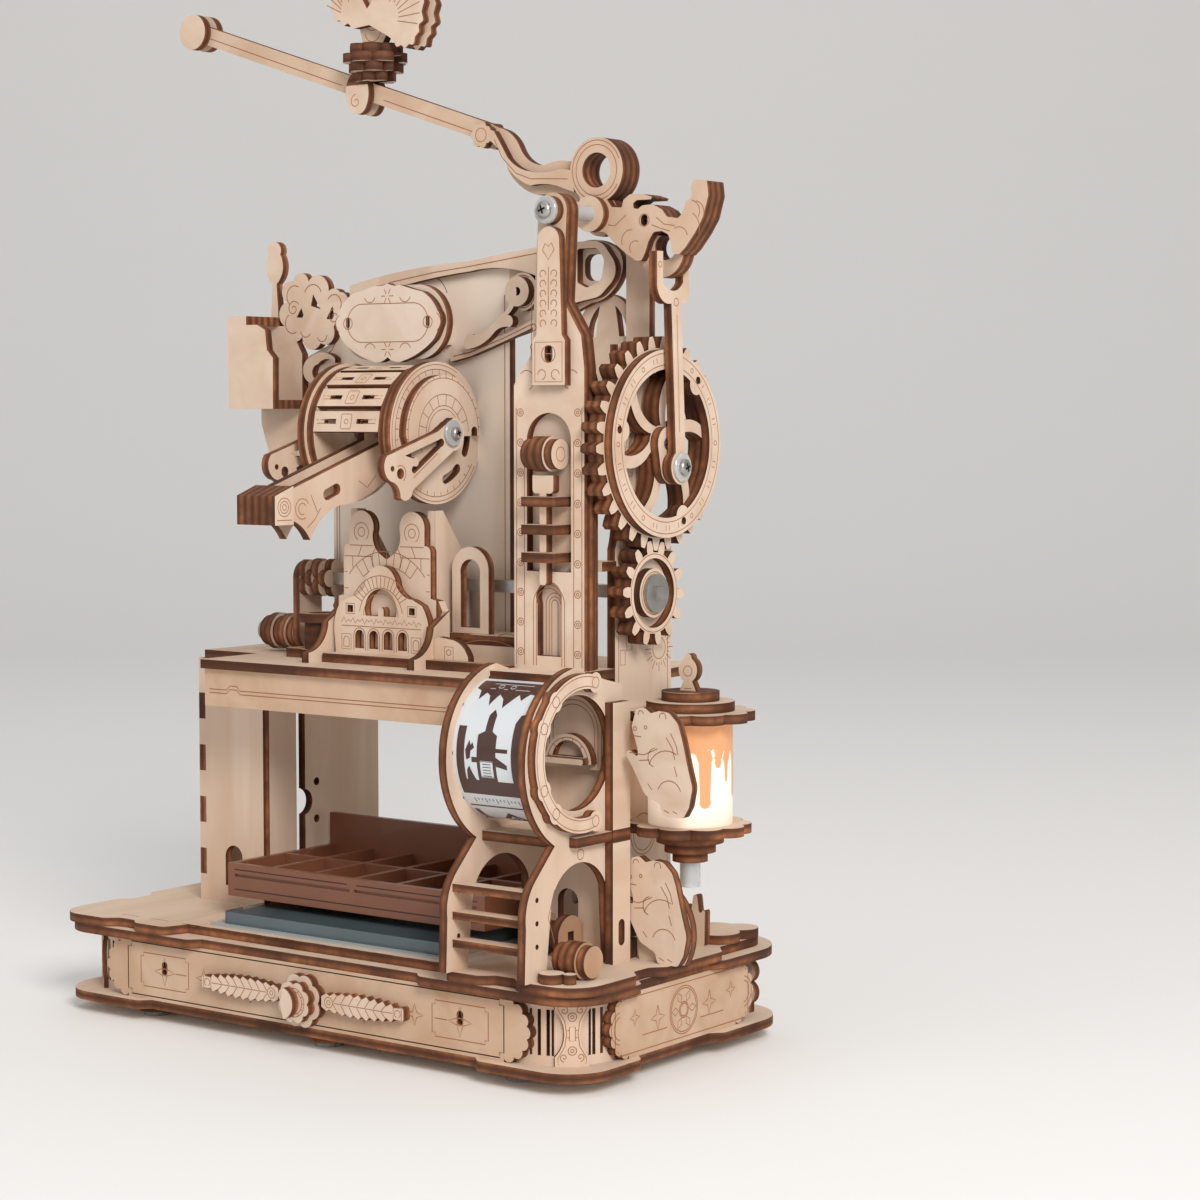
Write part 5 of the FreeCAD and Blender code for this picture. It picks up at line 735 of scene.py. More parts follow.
banner = [(1.2, 27.2), (1.2, 22.6), (3.4, 21.6), (4.6, 17.8), (6.2, 20.8), (8.0, 19.6), (9.6, 15.8),
    (11.4, 20.4), (13.6, 18.6), (15.0, 15.2), (16.6, 17.6), (18.6, 20.8), (20.4, 18.4), (22.4, 21.4),
    (25.8, 20.6), (25.8, 27.2)]
left_bar = [(1.4, -13.0), (1.4, 8.6), (4.4, 8.6), (4.4, -7.8), (22.2, -7.8), (22.2, 10.4), (23.4, 13.2),
    (25.8, 13.8), (25.8, -13.0)]
press = [(9.2, -8.2), (9.2, -2.2), (7.2, -2.2), (7.2, -0.6), (9.2, -0.6), (9.2, 6.2), (11.6, 7.4),
    (11.6, 12.6), (13.0, 14.6), (14.4, 12.6), (14.4, 7.4), (16.4, 6.2), (16.4, 2.4), (20.8, 2.4),
    (20.8, 1.2), (16.4, 1.2), (16.4, -0.2), (20.6, -2.4), (20.6, -3.8), (16.4, -3.0), (16.4, -8.2)]
figure = [(5.2, -1.6), (6.6, -1.0), (6.9, 1.2), (8.2, 2.2), (7.4, 3.8), (6.8, 2.9), (6.2, 4.4),
    (5.4, 2.6), (4.8, 1.4)]
stool = [(4.8, -7.8), (8.2, -7.8), (7.2, -5.8), (6.2, -3.4), (5.2, -4.6)]
panel_hole = [(10.4, -6.8), (15.2, -6.8), (15.2, -1.6), (10.4, -1.6)]
low_bar = [(1.2, -18.6), (25.8, -18.6), (25.8, -17.9), (1.2, -17.9)]
diamond = [(9.0, -26.5), (13.6, -21.4), (18.2, -26.5), (13.6, -31.6)]
diamond_hole = [(11.2, -26.5), (13.6, -23.8), (16.0, -26.5), (13.6, -29.2)]
arrow = [(12.2, -27.0), (13.6, -25.2), (15.0, -27.0), (14.1, -27.0), (14.1, -28.2), (13.1, -28.2),
    (13.1, -27.0)]
low_frame = [(1.2, -33.5), (1.2, -20.4), (3.0, -20.4), (3.0, -31.6), (24.0, -31.6), (24.0, -20.4),
    (25.8, -20.4), (25.8, -33.5)]
prints = [[banner], [left_bar], [press, panel_hole], [figure], [stool], [low_bar], [diamond, diamond_hole],
    [arrow], [low_frame]]
for number, loops in enumerate(prints):
    fill(f"film_print_{number}", "frame", on_film, loops, FILM_BROWN)
engrave("film_ticks", "frame", on_film,
    [[(4.6 + 1.4 * i, -14.6), (4.6 + 1.4 * i, -15.6 - (0.9 if i % 3 == 0 else 0))] for i in range(13)],
    0.3, FILM_BROWN)
engrave("film_banner_lines", "frame", on_film,
    [arc(9.5, 24.2, 0.9), arc(14, 24.2, 0.9), [(6, 25.6), (21, 25.6)], [(6, 22.8), (8, 22.8)],
    [(11, 22.8), (12.6, 22.8)], [(15.6, 22.8), (21, 22.8)]], 0.35, FILM_WHITE)
engrave("film_panel_lines", "frame", on_film,
    [[(11.2, -2.6 - 0.9 * i), (14.4, -2.6 - 0.9 * i)] for i in range(5)]
    + [box_line(10.6, -6.6, 15.0, -1.8)], 0.25, FILM_BROWN)
ring_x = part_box("stand_frames")[1].x / MM + LIFT
engrave("stand_ring_lines", "frame", on_face("yz", ring_x + PLY),
    [arc(-36, 100, r, 78, 282) for r in (20.2, 23.2)]
    + [arc(-36 + 21.75 * math.cos(math.radians(a)), 100 + 21.75 * math.sin(math.radians(a)),
    1.7) for a in (75, 130, 155, 205, 230, 285)], 0.26)
dial_lines = []
for r in (8.0, 9.4, 10.8):
    dial_lines.append([(76.5 - r, 93)] + arc(76.5, 104, r, 180, 0) + [(76.5 + r, 93)])
engrave("plaque_lines", "frame", on_face("xz", -15.5 - LIFT), dial_lines, 0.28)
engrave("dial_lines", "frame", on_face("xz", -18.5 - LIFT), [arc(76.5, 94, 7.9, 5, 175)]
    + rays(76.5, 94, 5.6, 7.9, 15, 165, 6), 0.28)
frame_marks = [arc(-48, 40, 1.2), [(-47, 44), (-50, 52), (-47, 60)], [(-20, 44), (-17, 52), (-20, 60)],
    arc(-34, 69, 1.6)]
engrave("stand_frame_lines", "frame", on_face("yz", ring_x), frame_marks, 0.28)


# Printing bay: platen, paper and clear plates
# The platen is a satin brown moulding with two rows of pockets that slides up in the side walls.
# Under it lie a pale sheet and tinted clear plates, which look dark blue-grey from the side.
wear(["platen", "platen_pins"],
    plain_material("moulded_brown", (0.20, 0.075, 0.038), 0.42, 0.15, 0.45, 0.16, 90))
wear(["print_sheet"], plain_material("print_sheet", (0.36, 0.38, 0.37), 0.6, 0.0, 0.3, 0.06))


def clear_material(name, tint, roughness=0.08, body_share=0.4, deep=(0.035, 0.045, 0.05, 1)):
    """Clear acrylic: a coloured sheen that lets part of the light through and is glossy on top."""
    material, nodes, link, shader = new_material(name)
    shader.inputs["Roughness"].default_value = roughness
    shader.inputs["IOR"].default_value = 1.49
    place = add_node(nodes, "TexCoord")
    haze = add_node(nodes, "TexNoise", {"Scale": 25, "Detail": 3, "Vector": place.outputs["Object"]})
    mix = add_node(nodes, "Mix", {"A": tint, "B": deep}, data_type="RGBA")
    rim = add_node(nodes, "Math", {1: 0.5, 0: haze.outputs["Fac"]}, operation="MULTIPLY")
    link(rim.outputs[0], mix.inputs["Factor"])
    link(mix.outputs["Result"], shader.inputs["Base Color"])
    shader.inputs["Transmission Weight"].default_value = 1 - body_share
    return material


wear(["glass_plates"], clear_material("tinted_plate", (0.20, 0.27, 0.30, 1), 0.07, 0.55))
wear(["foot_pads", "lamp_tube"],
    clear_material("clear_pad", (0.86, 0.88, 0.88, 1), 0.12, 0.35, (0.7, 0.72, 0.72, 1)))
# Painted light: the orange strip on a ply edge in the left bay stands for orange light shining out from
# inside the bay.
ORANGE_LIGHT_PAINT = plain_material("painted_orange_light", (0.78, 0.20, 0.012), 0.25, 0.4, 0.5, 0.18, 40)


def strip(name, body, corners, material):
    """Thin bent strip through a list of (x, y, z) places, 3 mm wide along X or as given."""
    mesh = bpy.data.meshes.new(name)
    band = bmesh.new()
    rows = []
    for x0, x1, y, z in corners:
        rows.append((band.verts.new(Vector((x0, y, z)) * MM), band.verts.new(Vector((x1, y, z)) * MM)))
    for a, b in zip(rows, rows[1:]):
        band.faces.new((a[0], b[0], b[1], a[1]))
    bmesh.ops.solidify(band, geom=band.faces[:] + band.verts[:] + band.edges[:], thickness=0.5 * MM)
    band.to_mesh(mesh)
    return ridden(name, mesh, material, body)


# Painted orange light, laid on the bay's ply edge as a thin glossy strip.
strip("painted_orange_light_strip", "frame",
    [(-61.6, -58.4, -9.6, 70), (-61.6, -58.4, -9.9, 84), (-61.6, -58.4, -9.6, 104),
    (-61.6, -58.4, -9.2, 117)], ORANGE_LIGHT_PAINT)
lane_lines = []
for i in range(47):
    y = -52 + 2.0 * i
    lane_lines.append([(51.4, y), (51.4 + (3.2 if i % 5 == 0 else 1.8), y)])
deck_plate_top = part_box("deck_plate")[1].z / MM + LIFT
engrave("lane_ticks", "frame", on_face("xy", deck_plate_top), flipped(lane_lines), 0.28)
deck_dashes = [[(-88 + 14 * i, -50), (-80 + 14 * i, -50)] for i in range(13)]
engrave("deck_dashes", "frame", on_face("xy", deck_plate_top), deck_dashes, 0.35)
platen_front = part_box("platen")[0].y / MM - LIFT
platen_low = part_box("platen")[0].z / MM
MOULD_LINE = plain_material("mould_shadow", (0.035, 0.012, 0.007), 0.5)
engrave("platen_lines", "platen_carriage", on_face("xz", platen_front),
    [[(-52, platen_low + 2.4), (52, platen_low + 2.4)],
    [(-52, platen_low + 9.0), (-2, platen_low + 9.0)], [(2, platen_low + 9.0), (52, platen_low + 9.0)]],
    0.4, MOULD_LINE)


# Type drum and feed arm
# Doubled discs with a raised fan hold the slats; bricks are scored round the rim and over the fan.
# Each slat has a rounded engraved plate in the middle, between two dark slots.
wear(["drum_slats"], bent_material("ply_slats", (0, -13, 195.5), (0, 1, 1), False, 0, "x"))
DRUM_Y = -13.0
DRUM_Z = 195.5
drum_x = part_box("drum_discs")[1].x / MM
disc_lines = [arc(DRUM_Y, DRUM_Z, r, 62, 330) for r in (20.4, 21.9)] + rays(DRUM_Y, DRUM_Z, 18.9, 20.4,
    66, 326, 27)
fan_lines = [arc(DRUM_Y, DRUM_Z, r, 2, 210) for r in (17.6, 12.4)] + rays(DRUM_Y, DRUM_Z, 17.6, 18.4, 6,
    206, 21)
fan_lines += [arc(DRUM_Y, DRUM_Z, 7.6, 10, 200), arc(DRUM_Y, DRUM_Z, 8.8, 10, 200)] + rays(DRUM_Y,
    DRUM_Z, 8.8, 12.4, 20, 190, 9)
for x, side in ((drum_x, 1), (-drum_x, -1)):
    engrave(f"disc_rim_lines_{'right' if side > 0 else 'left'}", "frame",
        on_face("yz", x - side * (3 - LIFT)), disc_lines, 0.26)
    engrave(f"disc_fan_lines_{'right' if side > 0 else 'left'}", "frame", on_face("yz", x + side * LIFT),
        fan_lines, 0.26)
DARK_SLOT = plain_material("slot_shadow", (0.018, 0.009, 0.006), 0.9, 0, 0.1)
for number, angle in enumerate((60, 82, 104, 126, 148, 170)):
    a = math.radians(angle)
    out = (math.cos(a), math.sin(a))
    along = (-math.sin(a), math.cos(a))
    reach = 21.6 + LIFT

    def on_slat(u, v, out=out, along=along, reach=reach):
        return Vector((u, DRUM_Y + out[0] * reach + along[0] * v,
            DRUM_Z + out[1] * reach + along[1] * v)) * MM

    plate_line = [(-1.8, -2.4), (1.8, -2.4), (2.2, -2.0), (2.2, 2.0), (1.8, 2.4), (-1.8, 2.4),
        (-2.2, 2.0), (-2.2, -2.0), (-1.8, -2.4)]
    marks = [[(7.4, 0.6), (12.4, 0.6)], [(7.4, -0.5), (11.0, -0.5)], [(11.8, -0.5), (12.6, -0.5)]]
    engrave(f"slat_lines_{number}", "frame", on_slat, [plate_line, arc(0, 0, 0.8)] + flipped(marks), 0.24)
arm_x = 5.0 + LIFT
arm_lines = [[(-34, 180.4), (-30, 178.2), (-26, 181.8)], arc(-60.5, 172.2, 3.2, 30, 300),
    arc(-60.5, 172.2, 1.8, 30, 300), [(-56.5, 176.4), (-53.6, 171.0)],
    [(-58.4, 166.2), (-54.8, 168.8), (-52.2, 172.2)]]
engrave("feed_arm_lines", "feed_arm", on_face("yz", arm_x), arm_lines, 0.28)
engrave("feed_block_lines", "feed_arm", on_face("yz", 6.5 + LIFT),
    [arc(-70.3, 173, 2.9), arc(-70.3, 173, 1.9), arc(-70.3, 173, 0.9), [(-73.6, 169), (-67, 169)]], 0.28)
engrave("feed_link_lines", "feed_arm", on_face("yz", 26.0 + LIFT),
    [[(-20, 189.2), (-32, 181.6)], arc(-38.2, 183, 2.6, -60, 120)], 0.28)


# Rocking lever, perch and bird
# Three plies glued together with a beam-like bar, a ring and a scrolled, maned head over the pivot.
# A stack of scalloped discs clamps on the bar and carries a small bird with spread wings.
wear(["perch"], ply_material("ply_perch", "z", "x",
    [("y", [("z", 290, 309.5)]), ("y", [("x", -110, -60)])]))
lever_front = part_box("lever_sides")[0].y / MM - LIFT
core_front = lever_front + PLY


def bar_height(x):
    """Middle of the lever's sloping bar."""
    return 322.15 - (x + 65.7) * (322.15 - 292.2) / 90.2


bar_lines = [[(-92, bar_height(-92)), (-30, bar_height(-30))],
    [(-12, bar_height(-12)), (28, bar_height(28))]]
engrave("lever_bar_lines", "lever", on_face("xz", core_front), bar_lines, 0.3)
head_lines = [arc(77.1, 276.8, 7.8), arc(77.1, 276.8, 9.2, 20, 330), arc(95.3, 260.7, 1.9),
    [(88.4, 262.6), (84.2, 259.4), (81.6, 259.8)], arc(112.4, 262.6, 3.4, -30, 80),
    arc(113.8, 262.2, 3.6, -40, 80), arc(110.6, 257.6, 5.2, -20, 60), arc(108.2, 255, 3.2, 10, 120),
    [(99.8, 261.4), (102.8, 259.2), (106.8, 258.6)], [(98, 259.2), (101.4, 258), (105, 257)],
    arc(90.2, 254.6, 3.4, 80, 200), arc(92, 252.4, 2.2, 60, 220),
    [(36.8, 288.6), (40, 282.6), (45.6, 277.4), (51.4, 275.4), (60, 275), (66, 274.6)],
    arc(31.4, 290.2, 2.2)]
engrave("lever_head_lines", "lever", on_face("xz", lever_front), head_lines, 0.28)
engrave("lever_eye", "lever", on_face("xz", lever_front + 1.0), [arc(95.3, 260.7, 0.9)], 0.5, DARK_SLOT)
bird_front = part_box("bird")[0].y / MM - LIFT
feather_lines = []
left_tips = [(-18.0, 14.2), (-17.6, 17.4), (-17.0, 20.6), (-16.2, 23.6), (-14.8, 26.4), (-12.6, 28.4),
    (-9.8, 26.6), (-8.2, 23.2)]
right_tips = [(22.6, 4.6), (23.6, 8.2), (23.6, 12.0), (22.6, 15.6), (20.8, 19.0), (18.2, 22.4),
    (15.6, 25.4), (12.8, 23.4)]
for root, tips in (((-7.6, 9.4), left_tips), ((8.6, 7.2), right_tips)):
    for dx, dz in tips:
        start = (root[0] + (dx - root[0]) * 0.34, root[1] + (dz - root[1]) * 0.34)
        stop = (root[0] + (dx - root[0]) * 0.94, root[1] + (dz - root[1]) * 0.94)
        feather_lines.append([(-16.5 + start[0], 322.6 + start[1]), (-16.5 + stop[0], 322.6 + stop[1])])
engrave("feather_lines", "lever", on_face("xz", bird_front), feather_lines, 0.3)
engrave("bird_body_lines", "lever", on_face("xz", bird_front + PLY),
    [arc(-15.0, 341.2, 0.6), arc(-16.5, 327, 3.4, 190, 350), arc(-16.5, 331, 3.8, 190, 350),
    arc(-16.5, 335, 3.8, 190, 350)], 0.28)
engrave("clamp_lines", "lever", on_face("xz", lever_front),
    [spiral(-21.4, 304.2, 2.4, 1.2, 90), [(-20.6, 309), (-20.6, 313)]], 0.28)


# Gear train, crank and push rod
# The large gear's face carries two scored circles with small marks; the steel shafts are plain.
# The rod's fork stands under the lever's head, and its shank carries a scored line.
GEAR_MID_Y = 3.0
GEAR_MID_Z = 192.5
gear_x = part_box("gear_crank")[1].x / MM
ring_face = gear_x - 0.7 + LIFT
gear_marks = [arc(GEAR_MID_Y, GEAR_MID_Z, r) for r in (24.2, 27.8)]
for i in range(24):
    a = math.radians(15 * i)
    x, y = GEAR_MID_Y + 26 * math.cos(a), GEAR_MID_Z + 26 * math.sin(a)
    if i % 4 == 0:
        gear_marks.append(arc(x, y, 0.7))
    else:
        gear_marks += rays(GEAR_MID_Y, GEAR_MID_Z, 25.2, 26.8, 15 * i - 2, 15 * i + 2, 2)
engrave("large_gear_lines", "large_gear", on_face("yz", ring_face), gear_marks, 0.26)
small_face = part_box("small_gear")[1].x / MM + LIFT
engrave("small_gear_lines", "crank_shaft", on_face("yz", small_face),
    [arc(0, 146.4, 12.1), arc(0, 146.4, 6.6)], 0.26)
fork_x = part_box("connecting_rod")[1].x / MM + LIFT
engrave("rod_lines", "push_rod", on_face("yz", fork_x),
    [[(2.0, 232), (3.6, 196)], arc(1.6, 235.8, 1.2), arc(-6.9, 247, 0.9), arc(6.9, 247, 0.9)], 0.28)


def steel_material(name="plain_steel"):
    """Plain turned steel, softly streaked."""
    material = plain_material(name, (0.42, 0.40, 0.38), 0.34, 0, 0.5, 0.25, 300)
    material.node_tree.nodes["Principled BSDF"].inputs["Metallic"].default_value = 0.9
    return material


STEEL = steel_material()
wear(["main_shaft", "gear_axle"], STEEL)


# Screws, washers and axles
# Pan-head steel screws with crossed slots turn on clear washers.
# A clear tube keeps the lever off the tower.
# Each one stands where its CAD solid does, with a domed head and a chamfered tip.
def turned(name, body, axis, centre, profile, material, count=36):
    """Piece turned on a lathe along X or Y: the profile is a list of (along, radius) points."""
    mesh = bpy.data.meshes.new(name)
    lathe = bmesh.new()
    rows = []
    for along, r in profile:
        row = []
        for i in range(count):
            a = 2 * math.pi * i / count
            u, v = centre[0] + r * math.cos(a), centre[1] + r * math.sin(a)
            row.append(lathe.verts.new(Vector((along, u, v) if axis == "x" else (u, along, v)) * MM))
        rows.append(row)
    if profile[0] == profile[-1]:
        rows[-1] = rows[0]
    for low, high in zip(rows, rows[1:]):
        for i in range(count):
            k = (i + 1) % count
            lathe.faces.new((low[i], low[k], high[k], high[i]))
    bmesh.ops.delete(lathe, geom=[v for v in lathe.verts if not v.link_faces], context="VERTS")
    bmesh.ops.recalc_face_normals(lathe, faces=lathe.faces[:])
    lathe.to_mesh(mesh)
    for face in mesh.polygons:
        face.use_smooth = True
    mesh.set_sharp_from_angle(angle=math.radians(38))
    return ridden(name, mesh, material, body)


def washer(name, body, axis, centre, low, high, inner, outer, material):
    """Flat washer with softened rims, or a short tube."""
    soft = min(0.25, (high - low) / 3)
    profile = [(low, inner), (low, outer - soft), (low + soft, outer), (high - soft, outer),
        (high, outer - soft), (high, inner), (low, inner)]
    return turned(name, body, axis, centre, profile, material)


def cross(name, body, plane, level, u, v, reach=1.35):
    """Crossed slot of a screw, turned a little from upright."""
    strokes = []
    for a in (0.35, 0.35 + math.pi / 2):
        du, dv = reach * math.cos(a), reach * math.sin(a)
        strokes.append([(u - du, v - dv), (u + du, v + dv)])
    engrave(name, body, on_face(plane, level), strokes, 0.62, DARK_SLOT)


CLEAR = clear_material("clear_washer", (0.90, 0.91, 0.91, 1), 0.1, 0.45, (0.72, 0.74, 0.74, 1))
pivot_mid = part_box("pivot_screw")
PIVOT_AT = ((pivot_mid[0].x + pivot_mid[1].x) / 2 / MM, (pivot_mid[0].z + pivot_mid[1].z) / 2 / MM)
pivot_tip, pivot_end = pivot_mid[0].y / MM, pivot_mid[1].y / MM
screw = turned("pivot_screw_steel", "frame", "y", PIVOT_AT,
    [(pivot_tip, 0.01), (pivot_tip, 1.3), (pivot_tip + 0.3, 2.0), (pivot_tip + 0.8, 2.5),
    (pivot_tip + 1.3, 2.6), (pivot_tip + 1.6, 2.6), (pivot_tip + 1.6, 1.5), (pivot_end - 0.5, 1.5),
    (pivot_end, 1.1), (pivot_end, 0.01)], STEEL)
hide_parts("pivot_screw")
washer("pivot_washer_front", "frame", "y", PIVOT_AT, pivot_tip + 1.6, pivot_tip + 2.6, 1.5, 4.2, CLEAR)
washer("pivot_washer_rear", "frame", "y", PIVOT_AT, 4.55, 5.75, 1.5, 4.2, CLEAR)
washer("pivot_tube", "frame", "y", PIVOT_AT, -20, -7.55, 1.5, 2.4, CLEAR)
cross("pivot_slot", "frame", "xz", pivot_tip - 0.02, *PIVOT_AT)
rod_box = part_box("rod_screw")
ROD_AT = ((rod_box[0].y + rod_box[1].y) / 2 / MM, (rod_box[0].z + rod_box[1].z) / 2 / MM)
rod_low, rod_end = rod_box[0].x / MM, rod_box[1].x / MM
screw = turned("rod_screw_steel", "push_rod", "x", ROD_AT,
    [(rod_low, 0.01), (rod_low, 1.5), (rod_end - 1.6, 1.5), (rod_end - 1.6, 2.6), (rod_end - 1.3, 2.6),
    (rod_end - 0.8, 2.5), (rod_end - 0.3, 2.0), (rod_end, 1.3), (rod_end, 0.01)], STEEL)
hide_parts("rod_screw")
washer("rod_washer", "push_rod", "x", ROD_AT, rod_end - 2.6, rod_end - 1.6, 1.5, 4.4, CLEAR)
cross("rod_slot", "push_rod", "yz", rod_end + 0.02, *ROD_AT)
drum_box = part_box("drum_axle")
DRUM_AT = ((drum_box[0].y + drum_box[1].y) / 2 / MM, (drum_box[0].z + drum_box[1].z) / 2 / MM)
drum_end = drum_box[1].x / MM
half_axle = [(0, 2.0), (drum_end - 0.9, 2.0), (drum_end - 0.4, 1.8), (drum_end, 1.2), (drum_end, 0.01)]
axle = turned("drum_axle_steel", "feed_arm", "x", DRUM_AT,
    [(-x, r) for x, r in reversed(half_axle[1:])] + half_axle[1:], STEEL)
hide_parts("drum_axle")
for side in (-1, 1):
    low, high = sorted((side * (drum_end - 3.0), side * (drum_end - 1.8)))
    washer(f"drum_cap_{side + 1}", "feed_arm", "x", DRUM_AT, low, high, 2.0, 4.2, CLEAR)
    cross(f"drum_slot_{side + 1}", "feed_arm", "yz", side * (drum_end + 0.02), *DRUM_AT, 0.95)
gear_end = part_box("gear_axle")[1].x / MM
cross("gear_slot", "large_gear", "yz", gear_end + 0.02, GEAR_MID_Y, GEAR_MID_Z, 1.2)


# Lamp and animals
# A white tube, lit from inside, sits between scalloped plates and has a caramel drip print.
# Two plain animals of ply, one on the deck and one climbing, are scored with eye, ear and limb lines.
def glow_material():
    """White tube lit from inside, brightest in the middle of its height."""
    material = plain_material("lamp_glow", (0.78, 0.66, 0.57), 0.4, 0.1, 0.4, 0.03)
    nodes = material.node_tree.nodes
    link = material.node_tree.links.new
    shader = nodes["Principled BSDF"]
    place = add_node(nodes, "TexCoord")
    split = add_node(nodes, "SeparateXYZ", {0: place.outputs["Object"]})
    height = add_node(nodes, "MapRange",
        {"From Min": 0.0755, "From Max": 0.1075, "To Min": -1, "Value": split.outputs["Z"]})
    square = add_node(nodes, "Math", {0: height.outputs["Result"], 1: height.outputs["Result"]},
        operation="MULTIPLY")
    level = add_node(nodes, "MapRange", {"To Min": 0.55, "To Max": 0.25, "Value": square.outputs[0]})
    shader.inputs["Emission Color"].default_value = (1.0, 0.80, 0.64, 1)
    link(level.outputs["Result"], shader.inputs["Emission Strength"])
    return material


wear(["lamp_shade"], glow_material())
wear(["lamp_lid"], ply_material("ply_lid", "z", "x", [("y", [("z", 116.4, 130)])]))
CARAMEL = plain_material("caramel_print", (0.62, 0.30, 0.14), 0.4, 0.1, 0.4, 0.06)
CARAMEL.node_tree.nodes["Principled BSDF"].inputs["Emission Color"].default_value = (1.0, 0.44, 0.18, 1)
CARAMEL.node_tree.nodes["Principled BSDF"].inputs["Emission Strength"].default_value = 0.22
LAMP_MID_X = 107.0
LAMP_MID_Y = 4.0
shade_r = 13.1 + LIFT * 2
turn_round = 2 * math.pi * shade_r


def on_shade(u, v, r=shade_r):
    """Point on the lamp's tube: u round it, v up it."""
    a = u / r - math.pi / 2
    return Vector((LAMP_MID_X + r * math.cos(a), LAMP_MID_Y + r * math.sin(a), v)) * MM


drips = [(-70, 1.4, 88.5), (-35, 2.1, 81.4), (-15, 1.5, 93.6), (1, 0.9, 89.2), (25, 1.7, 84.0),
    (50, 1.3, 91.0), (80, 2.0, 82.5), (112, 1.2, 92.0), (140, 1.9, 85.0), (175, 1.4, 90.0),
    (205, 2.1, 82.0), (235, 1.2, 92.5), (262, 1.8, 84.5)]
bottoms = []
gap = 98.6
for number, (angle, half, low) in enumerate(drips):
    u = math.radians(angle + 90) * shade_r
    after = math.radians((drips[number + 1][0] if number + 1 < len(drips) else 290) + 90) * shade_r
    bottoms += [(u - half - 1.1, gap - 0.6), (u - half - 0.2, gap - 2.8), (u - half * 0.9, low + 3),
        (u - half, low + 1.8), (u - half * 0.6, low + 0.4), (u, low), (u + half * 0.6, low + 0.4),
        (u + half, low + 1.8), (u + half * 0.9, low + 3), (u + half + 0.2, gap - 2.8),
        (u + half + 1.1, gap - 0.6)]
    gap = 98.6 + 1.2 * math.sin(number * 2.1)
    bottoms.append(((u + half + after - 1.4) / 2, gap))
turned_low = bottoms[0][0]
bottoms.append((turned_low + turn_round, bottoms[0][1]))
drip_loop = [(turned_low, 107.3)] + bottoms + [(turned_low + turn_round, 107.3)]
fill("lamp_drips", "frame", on_shade, [drip_loop], CARAMEL, 0.8)
PALE_LINE = plain_material("pale_outline", (0.95, 0.86, 0.76), 0.5)
outline = [(u, v - 0.2) for u, v in bottoms]
engrave("lamp_drip_outline", "frame", lambda u, v: on_shade(u, v, shade_r + 0.04), [outline], 0.4,
    PALE_LINE)

animal_face = LAMP_MID_Y - 16 - LIFT
animal_lines = [arc(-5.4, 26.6, 0.5), arc(-9.4, 26.0, 0.6), arc(-7.2, 30.6, 1.0, 0, 200),
    arc(0.9, 30.2, 1.2, -30, 200), [(-9.6, 23.8), (-7.0, 23.6)], arc(-1.5, 17.6, 3.0, 100, 250),
    arc(2.5, 13, 7.0, 60, 160), arc(3.4, 6.6, 4.4, 20, 160), [(-11.4, 18.6), (-6, 18.2), (-1, 20.4)],
    [(-7.8, 16.4), (-4, 16.8)], [(2.2, 24), (4.4, 21), (5.4, 17.6)], [(3.8, 25.4), (5.8, 22), (6.6, 19)],
    [(5.2, 15.4), (6.2, 12.4)], [(-4.6, 9.6), (-3, 7.8)], [(1.4, 2.0), (3.4, 1.2)],
    [(4.6, 1.9), (6.4, 1.2)]]
engrave("deck_animal_lines", "frame", on_face("xz", animal_face), moved(animal_lines, 105, 33.5), 0.3)
engrave("climbing_animal_lines", "climbing_figure",
    on_face("xz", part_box("climbing_figure")[0].y / MM - LIFT), moved(animal_lines, 112, 80.5), 0.3)
engrave("lamp_lid_lines", "lamp_lid", on_face("xz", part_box("lamp_lid")[0].y / MM + 12.2 - LIFT),
    [arc(107, 122.6, 1.6), [(105.6, 117.2), (108.4, 117.2)]], 0.25)


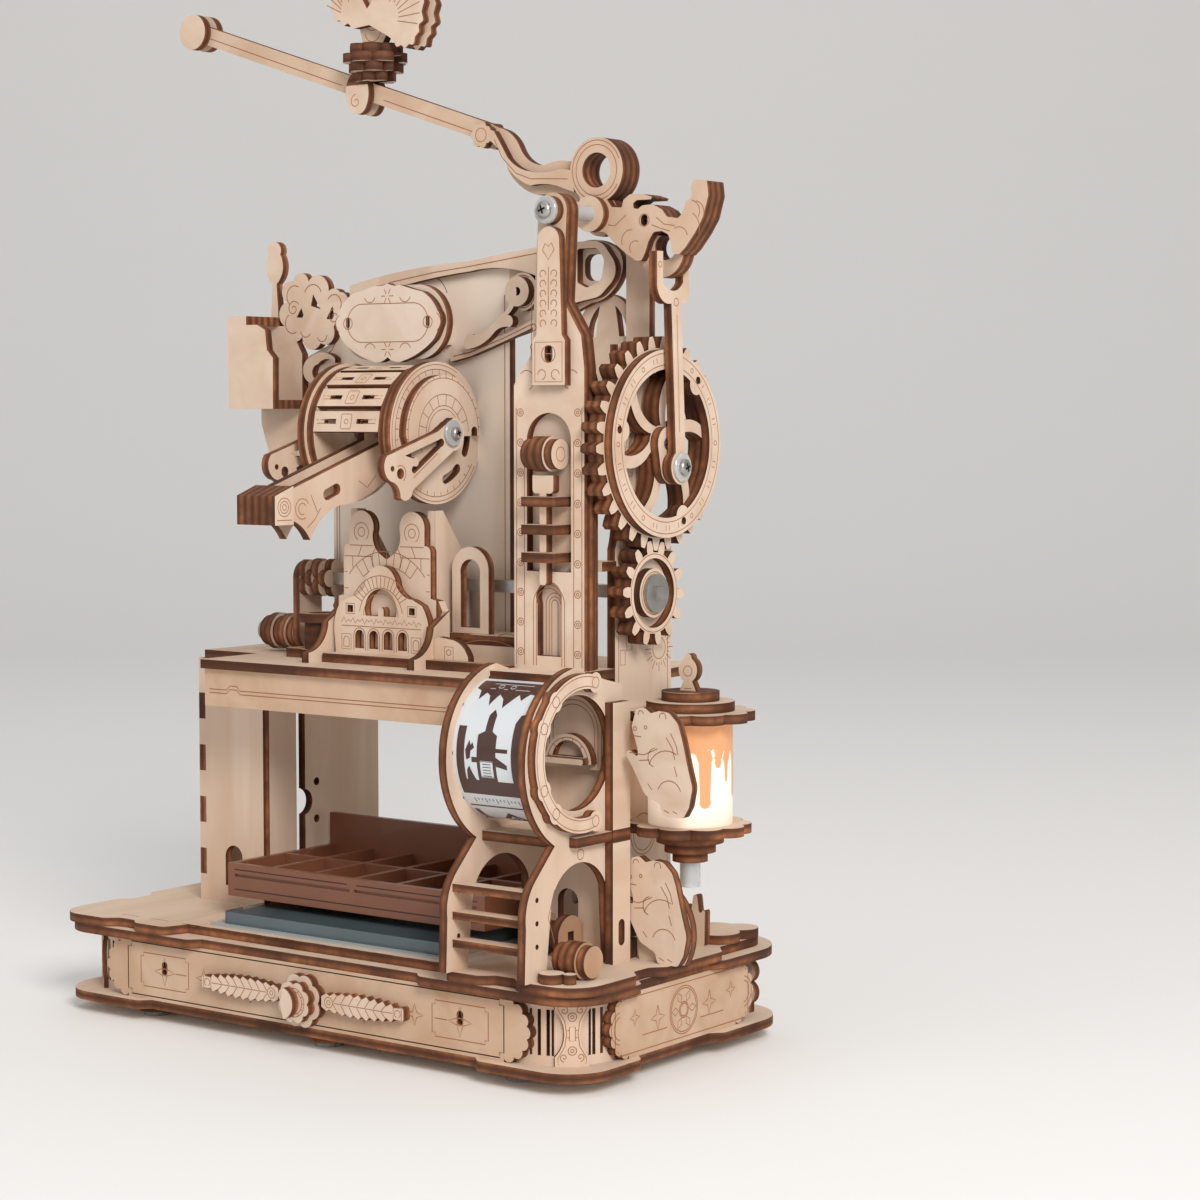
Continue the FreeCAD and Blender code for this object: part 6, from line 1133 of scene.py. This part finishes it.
# A soft window-like light comes from the right, and weaker ones from the front and above.
table_mesh = bpy.data.meshes.new("table")
sweep = bmesh.new()
span = 6.0
profile = [(-span, 0.0), (1.4, 0.0)]
for step in range(1, 9):
    angle = math.radians(step * 11.25)
    profile.append((1.4 + 0.8 * math.sin(angle), 0.8 * (1 - math.cos(angle))))
profile.append((2.2, 4.0))
turn = math.radians(36.45)
rows = []
for y, z in profile:
    row = []
    for x in (-span, span):
        place = (x * math.cos(turn) - y * math.sin(turn), x * math.sin(turn) + y * math.cos(turn), z)
        row.append(sweep.verts.new(place))
    rows.append(row)
for low, high in zip(rows, rows[1:]):
    sweep.faces.new((low[0], low[1], high[1], high[0]))
sweep.to_mesh(table_mesh)
table = bpy.data.objects.new("table", table_mesh)
bpy.context.scene.collection.objects.link(table)
for face in table_mesh.polygons:
    face.use_smooth = True
paint = bpy.data.materials.new("white_table")
paint.use_nodes = True
paint.node_tree.nodes["Principled BSDF"].inputs["Base Color"].default_value = (0.86, 0.85, 0.84, 1)
paint.node_tree.nodes["Principled BSDF"].inputs["Roughness"].default_value = 0.7
table_mesh.materials.append(paint)


def soft_light(name, place, aim, power, size, tint=(1, 1, 1)):
    """Square area light that looks at a point."""
    data = bpy.data.lights.new(name, "AREA")
    data.energy = power
    data.size = size
    data.color = tint
    light = bpy.data.objects.new(name, data)
    light.location = place
    light.rotation_euler = (Vector(aim) - Vector(place)).to_track_quat("-Z", "Y").to_euler()
    bpy.context.scene.collection.objects.link(light)


MIDDLE = (0.02, 0.0, 0.16)
soft_light("window", (1.3, -0.9, 1.0), MIDDLE, 25, 0.6, (1, 0.98, 0.955))
soft_light("room", (-0.7, -1.7, 1.0), MIDDLE, 5.5, 1.6)
soft_light("ceiling", (0.0, 0.1, 2.0), MIDDLE, 10, 2.2)

world = bpy.data.worlds.new("room")
world.use_nodes = True
world.node_tree.nodes["Background"].inputs["Color"].default_value = (1, 0.99, 0.975, 1)
world.node_tree.nodes["Background"].inputs["Strength"].default_value = 0.38
bpy.context.scene.world = world
bpy.context.scene.view_settings.view_transform = "Standard"


camera_data = bpy.data.cameras.new("camera")
camera_data.lens = 83.28
camera_data.sensor_width = 36
camera = bpy.data.objects.new("camera", camera_data)
camera.location = (0.5915, -0.699, 0.2025)
camera.rotation_euler = (math.radians(90 - 3.891), 0, math.radians(36.45))
bpy.context.scene.collection.objects.link(camera)
bpy.context.scene.camera = camera
